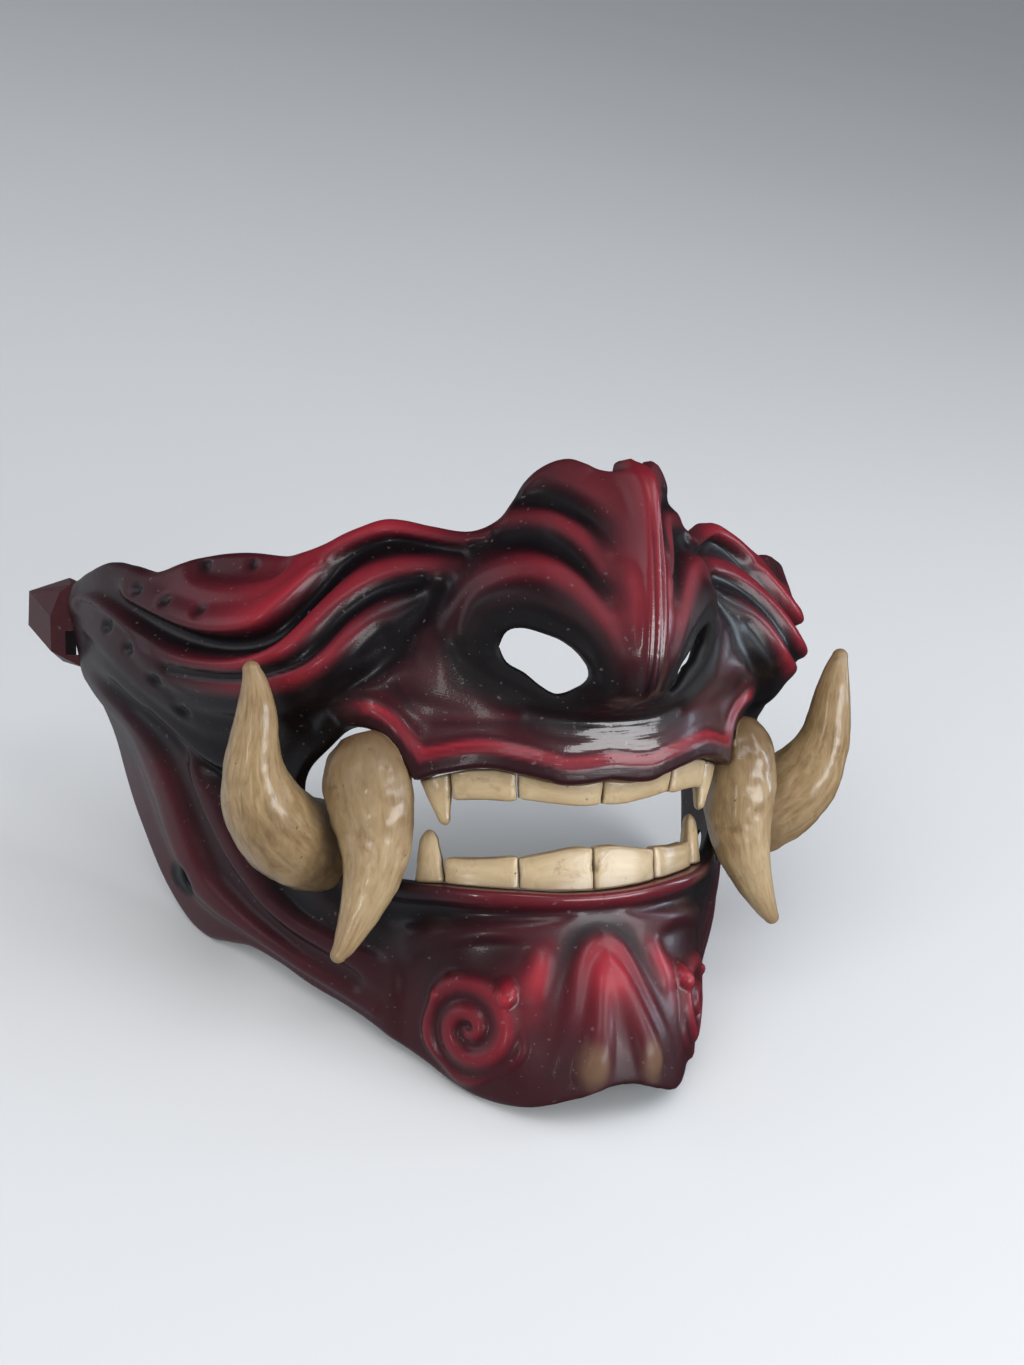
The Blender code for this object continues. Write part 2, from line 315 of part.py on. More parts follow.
SECTION_TURN = 55.0      # degrees, the down tusk's wide side follows the lip

def tusk(rows, side, n, step, turn):
    """rings round the axis, each square to it"""
    P = np.array(rows, float); Q = catmull(P[:, [0, 2, 1, 3, 4]], step)[:, [0, 2, 1, 3, 4]]
    C = Q[:, :3]; T = np.gradient(C, axis=0); T /= np.linalg.norm(T, axis=1)[:, None]
    a = np.arange(n)*2*np.pi/n; R = []
    g = np.array([np.cos(np.radians(turn)), np.sin(np.radians(turn)), 0])
    for c, t, row in zip(C, T, Q):
        u = g-t*(g@t); u /= np.linalg.norm(u); v = np.cross(t, u); g = u
        p = c+row[3]*np.cos(a)[:, None]*u+row[4]*np.sin(a)[:, None]*v
        R.append(p*(side, 1, 1))
    return R

def settle(V, gap):
    """moves a point that is in the shell's wall, or nearer than gap, to the nearest way out"""
    V = V.copy(); d = V[:, :2]-LINE; r = np.hypot(d[:, 0], d[:, 1]); th = np.degrees(np.arctan2(d[:, 0], -d[:, 1])); s = np.sign(th); th = np.abs(th); z = V[:, 2]
    ro, _ = surf(th, z); ri = inner_r(th, z, ro); L = mouth_line(); w = np.stack([warp(th), z], -1)
    P = L[:-1]; E = (L[1:]-P)[:, :2]; best = np.full(len(w), 1e9); foot = w.copy()
    for p, e in zip(P[:, :2], E):
        t = np.clip(((w-p)@e)/(e@e), 0, 1); f = p+t[:, None]*e; q = np.hypot(*(w-f).T); m = q < best; best[m] = q[m]; foot[m] = f[m]
    ring = np.vstack([L[:, :2], [[0, L[-1, 1]]]]); inn = ~inside(w, ring); sd = np.where(inn, best, -best)
    for i in np.where((sd > -gap) & (r < ro+gap) & (r > ri-gap))[0]:
        cost = (sd[i]+gap, ro[i]+gap-r[i], r[i]-ri[i]+gap); k = int(np.argmin(cost))
        if k == 0:
            dirn = (foot[i]-w[i])*(1 if inn[i] else -1); dirn = dirn/(np.hypot(*dirn)+1e-9); q = foot[i]+dirn*gap
            V[i] = xyz(np.array([s[i]*unwarp(q[0])]), np.array([q[1]]), np.array([r[i]]))[0]
        else:
            V[i] = xyz(np.array([s[i]*th[i]]), np.array([z[i]]), np.array([ro[i]+gap if k == 1 else ri[i]-gap]))[0]
    return V

# strap lug: corners as distance from the upright line, height, and way behind the ear's cut
LUG_PLANE = 116.0        # degrees, the cut where the shell ends and the lug starts
LUG = ((100.5, 68.6, 0), (105.2, 67.2, 0), (113.0, 71.4, 0), (113.0, 80.2, 0), (110.4, 86.4, 0), (107.6, 88.2, 0), (101.5, 86.8, 0),
       (103.0, 68.4, 11.5), (112.8, 68.8, 11.5), (121.6, 78.4, 11.5), (121.2, 87.2, 11.5), (110.6, 90.4, 11.5), (104.4, 86.4, 11.5))
LUG_SLOT = (106.6, 73.4, 5.4, 6.0)   # distance, height, width, height of the square slot
def lug_point(rho, z, off, side, gap=.35):
    t = np.radians(LUG_PLANE); return (side*(rho*np.sin(t)+(off+gap)*np.cos(t)), YC-rho*np.cos(t)+(off+gap)*np.sin(t), z)

# ---------------------------------------------------------------- rest pose
PITCH = 26.26            # degrees, how far the mask lies back on its chin and jaw corners
LIFT = (0, -44.26, 26.86)   # mm, brings the lowest point to z = 0 and the middle of the box to the origin

# ---------------------------------------------------------------- building
def clear_scene():
    for o in list(bpy.data.objects):
        bpy.data.objects.remove(o, do_unlink=True)

def material(name, colour, rough, metal=0.0):
    m = bpy.data.materials.new(name); m.use_nodes = True
    b = m.node_tree.nodes["Principled BSDF"]
    b.inputs["Base Color"].default_value = (*colour, 1)
    b.inputs["Roughness"].default_value = rough
    b.inputs["Metallic"].default_value = metal
    return m

def add(name, verts, faces, mat, parent):
    me = bpy.data.meshes.new(name); me.from_pydata([tuple(map(float, v)) for v in verts], [], [tuple(map(int, f)) for f in faces])
    me.update(); o = bpy.data.objects.new(name, me); bpy.context.collection.objects.link(o)
    bm = bmesh.new(); bm.from_mesh(me); bmesh.ops.triangulate(bm, faces=bm.faces[:]); bmesh.ops.recalc_face_normals(bm, faces=bm.faces[:])
    if bm.calc_volume(signed=True) < 0: bmesh.ops.reverse_faces(bm, faces=bm.faces[:])
    bm.to_mesh(me); bm.free(); me.shade_smooth(); me.materials.append(mat); o.parent = parent
    return o

def tube(rings):
    """closed skin over rings of the same count"""
    V = np.vstack(rings); n = len(rings[0]); F = []
    for k in range(len(rings)-1):
        for i in range(n):
            j = (i+1) % n; F.append((k*n+i, k*n+j, (k+1)*n+j, (k+1)*n+i))
    V = np.vstack([V, rings[0].mean(0), rings[-1].mean(0)]); c0, c1 = len(V)-2, len(V)-1; m = (len(rings)-1)*n
    for i in range(n):
        j = (i+1) % n; F.append((c0, j, i)); F.append((c1, m+i, m+j))
    return V, F

def shell(h):
    ring, kinds, nos, hole, G = sheet(h)
    P = np.vstack([ring, nos, hole, G]); edges = []; k = 0
    for L in (ring, nos, hole):
        edges += [(k+i, k+(i+1) % len(L)) for i in range(len(L))]; k += len(L)
    v, e, f, ov, oe, of = delaunay_2d_cdt([Vector(p) for p in P], edges, [], 0, 1e-5)
    v = np.array([tuple(p) for p in v]); f = np.array([t for t in f if len(t) == 3])
    C = v[f].mean(1); f = f[inside(C, ring) & ~inside(C, nos) & ~inside(C, hole)]
    th = unwarp(v[:, 0]); mid = np.abs(v[:, 0]) < 1e-6
    ro, paint = surf(th, v[:, 1]); ri = inner_r(th, v[:, 1], ro)
    n = len(v); other = np.where(mid, np.arange(n), np.arange(n)+n)
    th2 = np.r_[th, -th]; z2 = np.r_[v[:, 1], v[:, 1]]
    A = xyz(th2, z2, np.r_[ro, ro]); B = xyz(th2, z2, np.r_[ri, ri])
    F = np.vstack([f, other[f][:, ::-1]])
    count = {}
    for t in F:
        for i in range(3):
            a, b = int(t[i]), int(t[(i+1) % 3]); count[(a, b)] = count.get((a, b), 0)+1
    rim = [(a, b) for a, b in count if (b, a) not in count]
    m = 2*n
    faces = [tuple(t) for t in F]+[tuple(t[::-1]+m) for t in F]+[(b, a, a+m, b+m) for a, b in rim]
    V = np.vstack([A, B]); used = sorted({i for q in faces for i in q}); new = {o: i for i, o in enumerate(used)}
    return V[used], [tuple(new[i] for i in q) for q in faces]

def main():
    clear_scene()
    rest = bpy.data.objects.new("rest_pose", None); bpy.context.collection.objects.link(rest)
    rest.rotation_euler = (-np.radians(PITCH), 0, 0); rest.scale = (.001, .001, .001)
    rest.location = tuple(c/1000 for c in LIFT)
    red = material("lacquer_red", (.16, .012, .018), .32); ivory = material("ivory_paint", (.52, .42, .27), .42)
    V, F = shell(MESH); add("mask_shell", V, F, red, rest)
    for side, tag in ((-1, "right"), (1, "left")):
        for name, row in TEETH.items():
            R = tooth(row, side, GAP, 10, (0, .3, .62, .86, 1) if "fang" not in name else (0, .3, .55, .8, .95, 1))
            V, F = tube(R); V = settle(V, GAP-.05); add(name+"_"+tag, V, F, ivory, rest)
        for name, rows, turn in (("down_tusk", DOWN_TUSK, SECTION_TURN), ("up_tusk", UP_TUSK, 0.0)):
            V, F = tube(tusk(rows, side, 14, 4.2, turn)); V = settle(V, TUSK_GAP); add(name+"_"+tag, V, F, ivory, rest)
        pts = [lug_point(a, z, off, side) for a, z, off in LUG]
        me = bpy.data.meshes.new("lug"); bm = bmesh.new()
        for p in pts: bm.verts.new(p)
        r = bmesh.ops.convex_hull(bm, input=bm.verts[:]); bmesh.ops.delete(bm, geom=[g for g in r["geom_unused"] if isinstance(g, bmesh.types.BMVert)], context="VERTS")
        bm.to_mesh(me); bm.free()
        lug = add("strap_lug_"+tag, [tuple(v.co) for v in me.vertices], [tuple(p.vertices) for p in me.polygons], red, rest)
        for p in lug.data.polygons: p.use_smooth = False
        a, z, w, t = LUG_SLOT
        box = [lug_point(a+i*w/2, z+j*t/2, off, side) for off in (-4, 20) for j in (-1, 1) for i in (-1, 1)]
        cut = add("slot_cutter_"+tag, box, [(0, 1, 3, 2), (4, 6, 7, 5), (0, 4, 5, 1), (2, 3, 7, 6), (0, 2, 6, 4), (1, 5, 7, 3)], red, rest)
        cut.hide_render = True; cut.display_type = "WIRE"
        b = lug.modifiers.new("slot", "BOOLEAN"); b.operation = "DIFFERENCE"; b.object = cut; b.solver = "EXACT"

main()
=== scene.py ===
import bpy
import bmesh
import numpy as np
from mathutils import Matrix, Vector, noise
from mathutils.geometry import delaunay_2d_cdt

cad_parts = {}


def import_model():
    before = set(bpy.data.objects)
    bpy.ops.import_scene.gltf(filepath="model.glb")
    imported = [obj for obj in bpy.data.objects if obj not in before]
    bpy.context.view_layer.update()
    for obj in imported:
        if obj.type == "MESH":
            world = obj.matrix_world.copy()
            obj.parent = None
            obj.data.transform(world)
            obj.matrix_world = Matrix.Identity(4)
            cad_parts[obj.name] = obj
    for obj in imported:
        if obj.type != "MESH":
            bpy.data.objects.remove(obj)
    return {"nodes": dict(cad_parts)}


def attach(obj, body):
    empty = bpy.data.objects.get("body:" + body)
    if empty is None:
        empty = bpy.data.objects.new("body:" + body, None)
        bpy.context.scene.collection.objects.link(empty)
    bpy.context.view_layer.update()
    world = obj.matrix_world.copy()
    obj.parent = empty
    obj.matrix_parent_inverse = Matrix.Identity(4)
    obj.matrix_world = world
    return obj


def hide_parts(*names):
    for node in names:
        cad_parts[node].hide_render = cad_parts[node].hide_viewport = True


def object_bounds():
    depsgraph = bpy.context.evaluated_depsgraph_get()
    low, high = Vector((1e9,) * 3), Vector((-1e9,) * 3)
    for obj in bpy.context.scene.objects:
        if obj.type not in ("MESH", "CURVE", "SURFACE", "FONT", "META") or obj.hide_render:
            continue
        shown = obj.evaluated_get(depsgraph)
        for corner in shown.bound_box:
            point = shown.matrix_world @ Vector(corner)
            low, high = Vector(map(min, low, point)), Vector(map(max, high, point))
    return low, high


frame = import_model()
CAD_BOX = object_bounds()

# The visible skin of the mask. Sizes are in millimetres in the mask's own frame, as in
# the solid model: the same sheet of lines and marks, laid out much finer, with rounded
# rims, and turned into the row's frame with world().
FINE = .92   # mm, spacing of the shell's outer points
INNER = 2.6          # mm, spacing on the back of the shell
RIM = 1.25           # mm, radius of the outer edges
TOOTH_GAP = .3       # mm, room between a tooth or tusk and the shell

# ---------------------------------------------------------------- form of the shell
# The shell is described on a sheet with two axes: TH, the angle round the upright
# line x = 0, y = YC (0 at the front, growing towards the ear), in degrees, and Z, the height
# in millimetres.  RB gives the plain radius there and FOLDS the lines where the
# surface stands above it (ridges) or below it (grooves).
YC = 35.0            # mm, the upright line's distance behind the lip
MM = 1.2             # mm of sheet per degree
WALL = 3.2           # mm, shell thickness

TH_COLS = (0, 20, 40, 60, 80, 100, 125)
RB = (  # z,    0   20   40   60   80  100  125
    (-38, (62, 55, 46, 43, 45, 51, 72)),
    (-20, (61, 57, 50, 47.5, 50, 59, 81)),
    (0,   (53, 52.5, 50.5, 49, 55, 67, 91)),
    (18,  (53, 53, 53, 53, 58, 70.5, 98)),
    (40,  (58, 58, 58, 59, 65, 78.5, 102)),
    (52,  (59, 59, 58, 61, 69, 84, 105)),
    (66,  (60, 60, 60, 70, 79, 93, 111)),
    (82,  (61, 60, 58, 67, 78, 94, 115)),
    (100, (60, 57, 52, 57, 73, 92, 116)),
    (112, (58, 55, 50, 54, 71, 90, 116)))

OUTLINE = (  # th, z : outer edge from the top of the nose, round the ear, to the chin
    (0, 110.4), (.8, 109.7), (1.7, 108), (3, 107.5), (4.8, 108.3), (7.2, 109.9), (10, 111.1), (14, 109.8), (18, 106.5), (21, 102), (24.5, 98),
    (31, 95.8), (41, 97.5), (51, 99.4), (57.7, 97.4), (63.5, 93.8), (70, 91.6), (78.5, 92.8), (85.5, 92),
    (92.5, 89.2), (98, 91), (103, 92.4), (108, 91), (112.5, 89.6), (115.4, 87.6), (115.7, 80), (115.7, 72), (115.7, 66.5), (117, 61), (119.8, 53),
    (121.2, 43), (120.8, 34), (119.4, 25), (117.2, 13), (113.8, 4), (109.5, -.3), (104, -1), (98, -1.5), (91, -5), (84.5, -9.3), (76, -13.2), (67, -17),
    (57, -21.5), (48, -25.5), (40, -29.5), (31, -32.5), (20, -33.5), (10, -31), (4, -29), (0, -28.5))
SLOT = (  # th, z : edge of the mouth, upper lip from the middle to the cheek and back along the lower lip
    (0, 39.4), (9.5, 38.6), (15, 40), (21, 41.6), (28.5, 43.0), (38.5, 41.8), (42, 40.8), (44.4, 40.8), (46, 43.8), (48.8, 47.6),
    (52, 51), (56, 52.4), (60.6, 51.8), (66.5, 47.6), (72, 43), (75, 38), (75.5, 32), (73, 26), (67, 21), (58, 17.8),
    (49, 16.6), (42, 16.4), (32, 15.6), (21, 14.8), (10, 13.9), (0, 13.6))
NOSTRIL = ((24.6, 70), (23, 73.2), (20, 73.9), (16.3, 72.6), (12.4, 70.2), (9.8, 66.8), (8.3, 62.8), (10.6, 60), (13.5, 59.4), (16.4, 61.3), (19.3, 64), (23, 66.5))
STRAP_HOLE = (109.5, 14.5, 3.3)   # th, z, radius

# name: points (th, z, stand-off, paint).  paint 0 black .. 1 bright red
FOLDS = {
 "nose_ridge": ((0, 109.8, 14.2, .8), (0, 107, 19.6, .8), (0, 100, 21.5, .85), (0, 86, 21.8, .85), (0, 74, 22, .8), (0, 66, 21.4, .5), (0, 60, 19.5, .25), (0, 57.5, 16, .15)),
 "nose_shoulder": ((3.2, 83, 19, .85), (2.5, 74, 20.2, .8), (2.3, 66, 20, .5), (2.4, 58.5, 16, .15)),
 "nose_tip_side": ((4.2, 67, 18, .4), (4.2, 60, 15, .15)),
 "nose_under": ((0, 55.6, 6.5, .12), (4, 55.6, 6.3, .1), (10, 56.4, 4.4, .1), (16, 57.4, 2.6, .1), (23, 60, 1.4, .08), (31, 64.5, .8, .08), (33.5, 69.5, .8, .08)),
 "top_lobe": ((20.5, 104, 1.5, .35), (14, 108.5, 4, .5), (9.6, 106.5, 7.4, .65), (6.6, 102.6, 11.4, .75), (4.6, 94, 15.6, .8), (3.5, 86, 18.2, .85), (3, 78, 19.2, .8), (2.9, 70, 19.2, .5)),
 "lobe_valley": ((6.2, 107.6, 9.4, .6), (4.4, 103, 14.0, .62), (2.6, 94, 18.6, .6), (1.7, 87, 20.4, .6), (1.2, 80, 21.1, .6), (1, 70, 21.2, .45), (1, 60, 19, .2)),
 "groove_1": ((19.8, 102.4, .4, .1), (13.3, 101.5, 1.9, .03), (8.8, 98.9, 5.0, .05), (6.7, 95.6, 8.8, .12), (5.8, 92, 12.0, .35), (5.5, 89.4, 13.8, .6)),
 "fold_2": ((24, 97.6, 1.6, .5), (18, 98.9, 3.0, .6), (13, 97.9, 5.0, .75), (9.8, 94.6, 8.3, .8), (7.9, 90.2, 11.3, .75), (6.8, 85.5, 13.6, .65)),
 "groove_3": ((30, 92.6, .6, .05), (22.6, 94.2, .9, .05), (16.2, 93.3, 2.8, .03), (11.8, 90.5, 5.6, .03), (8.8, 86, 9.2, .06), (7.1, 82, 12.6, .2), (6.2, 79, 14.8, .5)),
 "alar": ((33.5, 75, 1.5, .25), (30.2, 82, 3.3, .42), (24.7, 86, 5.8, .6), (17.7, 87.6, 8.9, .75), (12, 84.6, 11.8, .8), (8.6, 79.6, 14.4, .8), (6.4, 74.6, 16.6, .75), (4.8, 69, 17.8, .5)),
 "alar_edge": ((31.5, 70, 2, .12), (29, 78.5, 5, .15), (23, 81.2, 8, .2), (17.8, 81, 10.6, .2), (13, 77.2, 13.6, .2), (9.5, 72, 15.8, .22), (7, 67, 16.8, .2), (4.8, 61, 15, .1)),
 "nostril_in": ((26.5, 69, 2.8, .0), (25, 74.5, 5, .0), (20, 75.8, 7.6, .0), (15.5, 74.6, 9.6, .0), (11.2, 72, 12, .0), (8.6, 67.8, 13.2, .0), (6.8, 62, 12.6, .0)),
 "nostril_low": ((25.5, 66, 2.0, .0), (20, 61.8, 2.8, .0), (14.5, 58, 4.6, .0), (9.5, 57.6, 7, .0), (6.3, 59.5, 10.5, .0)),
 "philtrum": ((0, 50, -.5, .45), (10, 50, -.5, .42), (18, 51.5, -.3, .42), (24, 53.5, .2, .42), (34, 55, 0, .38), (44, 59, 0, .28)),
 "philtrum_top": ((0, 53.2, -.8, .2), (10, 53.4, -.7, .18), (18, 55, -.3, .15)),
 "cheek_plate": ((40, 72, .5, .25), (38, 64, .5, .4), (47, 62, .5, .3), (30, 57, .5, .35)),
 "lip_line": ((0, 43.3, 2, 0.6), (9.5, 42.5, 2, 0.6), (15, 43.9, 2, 0.6), (21, 45.5, 2, 0.6), (28.5, 47.1, 2, 0.6), (34, 46.8, 2, 0.6), (38.8, 45.8, 2, 0.6), (42.6, 45.9, 2, 0.6), (45.3, 48.9, 2, 0.6), (48.2, 53.1, 2, 0.6), (51.8, 55.9, 2, 0.6), (56, 56.1, 1.4, .4), (60, 55.2, .6, .15)),
 "lip_under": ((0, 41, 1.8, 0.36), (9.5, 40.2, 1.8, 0.36), (15, 41.6, 1.8, 0.36), (21, 43.2, 1.8, 0.36), (28.5, 44.8, 1.8, 0.36), (34, 44.5, 1.8, 0.36), (38.8, 43.5, 1.8, 0.36), (42.6, 43.6, 1.8, 0.36), (45.3, 46.6, 1.8, 0.36), (48.2, 50.8, 1.8, 0.36), (51.8, 53.6, 1.8, 0.36), (56, 54.2, .9, .2)),
 "lip_red": ((0, 44.6, 1.1, 1.05), (9.5, 43.8, 1.1, 1.05), (15, 45.2, 1.1, 1.05), (21, 46.8, 1.1, 1.05), (28.5, 48.4, 1.1, 1.05), (34, 48.1, 1.1, 1.05), (38.8, 47.1, 1.1, 1.05), (42.6, 47.2, 1.1, 1.05), (45.3, 50.2, 1.1, 1.05), (48.2, 54.4, 1.1, 1.05), (51.8, 57.2, 1.1, 1.05), (56, 57.4, .6, .5), (61, 56, 0, .15)),
 "lip_over": ((0, 46.2, 0.2, 0.48), (9.5, 45.4, 0.2, 0.48), (15, 46.8, 0.2, 0.48), (21, 48.4, 0.2, 0.48), (28.5, 50, 0.2, 0.48), (34, 49.7, 0.2, 0.48), (38.8, 48.7, 0.2, 0.48), (42.6, 48.8, 0.2, 0.48), (45.3, 51.8, 0.2, 0.48), (48.2, 56, 0.2, 0.48), (51.8, 58.8, 0.2, 0.48), (56, 59.2, -.3, .15), (62, 57, -.8, .05)),
 "top_edge": ((27, 94.5, 2, .5), (34, 94.5, 2.5, .6), (42, 96.3, 2.5, .8), (51, 98, 2.5, .9), (58, 95.5, 2.5, .85), (63, 92.2, 2, .8)),
 "g1": ((112, 87, -.6, .35), (103.3, 84.5, -1, .3), (94, 78.5, -1.8, .15), (86, 73.6, -2.6, .03), (80, 71.5, -3, .0), (74, 71.2, -3, .0), (69, 72.5, -3, .0), (65.5, 76, -3, .0), (62.5, 82, -3, .0), (59.5, 88.5, -2.5, .0), (55.5, 92.4, -2, .0), (49, 93.6, -1.5, .0), (41, 92.6, -1, .05), (33, 91.4, 0, .1)),
 "bowl_rim": ((90, 89.5, .8, .6), (86, 86, 1.5, .75), (81, 83.6, 2, .85), (75.5, 83.2, 2.2, .9), (70.2, 84.2, 2.2, .9), (66.5, 87, 2, .8), (64, 91, 1.5, .8)),
 "bowl": ((83, 88.5, -.8, .5), (77, 87.6, -1.2, .6), (71, 88, -1, .7)),
 "roll": ((97, 84.5, 1.2, .5), (89, 80.5, 2.4, .6), (82, 77.6, 3.2, .8), (76, 76.8, 3.6, .95), (70.5, 78, 3.6, 1), (66.5, 82.5, 3.2, .95), (63.5, 88, 2.6, .9)),
 "f3": ((110, 83, .5, .4), (101, 79, 1, .35), (92, 72.5, 1.5, .4), (86, 69, 3, .7), (80, 67.3, 4, .95), (74, 66.8, 4.4, 1), (69, 67.8, 4.2, 1), (64, 70.6, 3.4, .9), (60.5, 75.5, 2.6, .85), (57.5, 81, 2, .8), (53.5, 85.5, 1.5, .8), (48, 88.2, 1.2, .75), (41, 89, 1, .7), (34, 88.6, 1, .35)),
 "g2": ((88, 66.4, 1.4, .15), (80, 64.9, 1.9, .03), (74, 64.4, 2.1, .0), (69, 65.3, 1.9, .0), (62.5, 67.6, 1, .0), (58.5, 72, .3, .0), (55, 78, -.4, .0), (50, 82.6, -.8, .0), (42, 85, -.8, .0)),
 "f4": ((90, 64.6, 2.2, .4), (84, 63.2, 3.2, .6), (78, 62.3, 3.8, .85), (71, 62.4, 4, .9), (65, 63.8, 3.6, .9), (60, 66, 2.8, .85), (56.5, 69.5, 2, .8), (53, 75, 1.2, .7), (48.5, 79.5, .6, .4), (43, 81.5, 0, .1)),
 "f4_foot": ((90, 60.5, 1.8, .15), (84, 58.6, 3, .1), (77, 57.2, 3.4, .08), (70, 57.4, 3.2, .06), (64, 59, 2.4, .06), (59, 62, 1.2, .05), (54, 67, -.2, .03), (49, 73, -1, .02)),
 "ear_ridge": ((114, 83, 1.4, .45), (107, 84.5, 2, .5), (100.5, 80.5, 2.2, .5), (94, 74, 2.4, .45), (89.5, 66.5, 2.6, .4), (86.5, 61, 2.6, .3)),
 "strip": ((113, 78, .4, .3), (104, 75, 1, .35), (97, 68, 1.6, .35), (93.5, 61, 2, .3), (90, 56, 2.2, .2), (85, 53.5, 1.6, .1), (78, 53, .8, .05)),
 "wing_edge": ((110, 74, -.3, .2), (103.5, 68, .8, .2), (98.5, 60, 1.8, .2), (95.5, 53, 2.2, .15), (92.5, 47.6, 2, .1), (89, 45.4, 1.5, .1), (84, 46.5, .6, .05), (78, 48.5, -.3, .02)),
 "hollow_low": ((91, 31, -1.5, .05), (89.5, 20.5, -1.5, .05), (85.5, 13, -1.5, .05), (79.5, 8, -1.2, .1), (71.5, 4.5, -1, .15), (62, 3, -.6, .15)),
 "hollow": ((103.5, 61, -1.2, .05), (98.8, 51.5, -2, .0), (94.3, 42, -3, .0), (90, 38.6, -3, .0), (85, 40, -2.5, .0), (81, 42, -1.8, .0)),
 "recess_up": ((68, 54, -2, .0), (62, 58.5, -2, .0), (55, 63, -2, .0), (49, 68, -1.5, .0), (45, 74, -1, .02), (41, 79.5, -1, .03), (37, 84, -.8, .05)),
 "slot_rim": ((62, 54, -1, .02), (68.5, 49.5, -1, .0), (74.5, 44.5, -1, .0), (78, 38, -1, .0), (78.5, 31, -1, .0), (75.5, 24, -.5, .05), (68, 18, 0, .1)),
 "band_inner": ((98, 56, .8, .25), (96, 47, 1.2, .3), (96.2, 38, 1.8, .36), (95.6, 28, 2.2, .38), (93.8, 20, 2.2, .38), (90.5, 12.5, 2, .38), (87, 8.5, 1.8, .38), (82.5, 5, 1.5, .38), (75.5, 1.5, 1.3, .36), (67.5, -2.5, 1.2, .35), (59, -7, .8, .33)),
 "band_groove": ((103.5, 55, -.2, .25), (100.5, 47, -.5, .25), (100.5, 38, -.8, .25), (101, 27, -1, .25), (100, 18, -1, .25), (95.5, 11, -1, .25), (91.5, 6.5, -1, .25), (86, 2.2, -.8, .25), (79, -2, -.5, .3), (69.5, -7.3, -.2, .3)),
 "band_outer": ((114, 64, 1, .35), (109.5, 59, 2, .42), (106, 54, 2.4, .46), (104.6, 46, 2.8, .5), (104.6, 35, 3.0, .5), (105.4, 25, 3.0, .5), (104.4, 16, 3.0, .5), (100.8, 9.6, 2.6, .48), (96.6, 5, 2, .46), (90.3, .3, 1.7, .44), (83, -5, 1.4, .42), (74, -9.6, 1, .4), (64, -14, .8, .38)),
 "band_edge": ((117.5, 62, -.6, .3), (117, 48, -1, .38), (117, 35, -1.2, .42), (116, 22, -1.2, .42), (112, 8, -1, .42), (106, 2.6, -.8, .4), (97, 0, -.6, .4), (88, -5, -.5, .4), (77, -10.8, -.4, .38), (64, -16.6, 0, .36)),
 "lower_lip": ((0, 12.2, 2.2, .75), (10, 12.6, 2.2, .7), (21, 13.4, 2, .65), (32, 14.2, 1.8, .55), (42, 15, 1.4, .35), (50, 15.2, 1, .15), (58, 15.6, .5, .05)),
 "under_lip": ((0, 9.6, -.6, .3), (10, 9.6, -1, .25), (21, 9.6, -1.4, .2), (32, 9.8, -1.6, .15), (42, 10.5, -1.8, .05), (52, 10.5, -2, .0), (62, 12, -2, .0), (70, 14, -1.5, .0)),
 "flow": ((0, 9.4, .8, .3), (4, 9.2, .8, .3), (8, 7.8, .7, .4), (12, 6.4, .7, .46), (20, 5.6, .8, .42), (30, 5.0, .9, .36), (38, 3.6, .9, .3), (50, 1.8, .7, .22)),
 # the chin lobe's paint is highest at its top and falls towards its foot: the lobe's own red, with light from above
 # painted in as a lighter top
 "lobe_arch": ((0, 2.4, 2.0, .85), (3.6, .8, 2.0, .9), (6.2, -4, 2.0, .8), (8.4, -11, 1.9, .6), (11, -18, 1.4, .42), (13.5, -25, .8, .35)),
 "lobe_mid": ((0, -1, 3.8, 1.15), (0, -6, 3.7, 1.05), (0, -11, 2.9, .7), (0, -16, 1.9, .52), (0, -22, 1.0, .4), (0, -28, .6, .3)),
 "lobe_bulb": ((2.2, -5, 3.9, 1.08), (3.9, -10, 4.1, .78), (5.3, -16, 4.1, .6), (6.5, -22, 3.6, .48), (7.3, -28, 1.6, .35)),
 "lobe_valley2": ((0, 6.2, .4, .03), (3.6, 5.6, .35, .03), (7.4, 3.2, .25, .08), (10.4, -1.5, .3, .28), (12.6, -8, .4, .45), (15, -15, .5, .46), (18.5, -23, .4, .4)),
 "bump_2": ((13.6, 1.5, .7, .7), (15.8, -2, 1.7, 1.05), (17.6, -6.5, 1.7, 1.0), (18.4, -11, .8, .7)),
 "swirl_gap": ((21.5, 1.5, -.2, .34), (27, 3.2, -.4, .22), (36, 3, -.4, .2), (46, -1, -.4, .26), (51.5, -9, -.4, .34), (52, -18, -.3, .36), (46, -27, -.2, .38)),
}
PITS = (  # th, z, radius, depth
    (95, 85.2, 1.6, 1.3), (88.5, 82.2, 1.6, 1.3), (81, 79.6, 1.6, 1.2), (84, 90.2, 1.3, .8), (76, 89.9, 1.3, .8),
    (101, 77, 1.6, 1.4), (95.5, 71.5, 1.6, 1.5), (91.8, 64, 1.6, 1.5), (90.6, 56.6, 1.6, 1.5))
SWIRL = dict(th=34.1, z=-16.0, r=13.0, wide=.80, turns=2.05, height=2.3)   # round scroll on the chin
BALLS = ((24.4, -7.6, 3.1, 2.7, .40), (43.6, -8.6, 1.7, .8, .10))   # beads on the scroll: th, z, radius, height, paint
HOLE_SHADE_DISH = dict(th=110.0, z=14.4, r=4.5, wide=.88)                       # shallow dish round the strap hole, painted black as painted shade for the dark opening of the hole
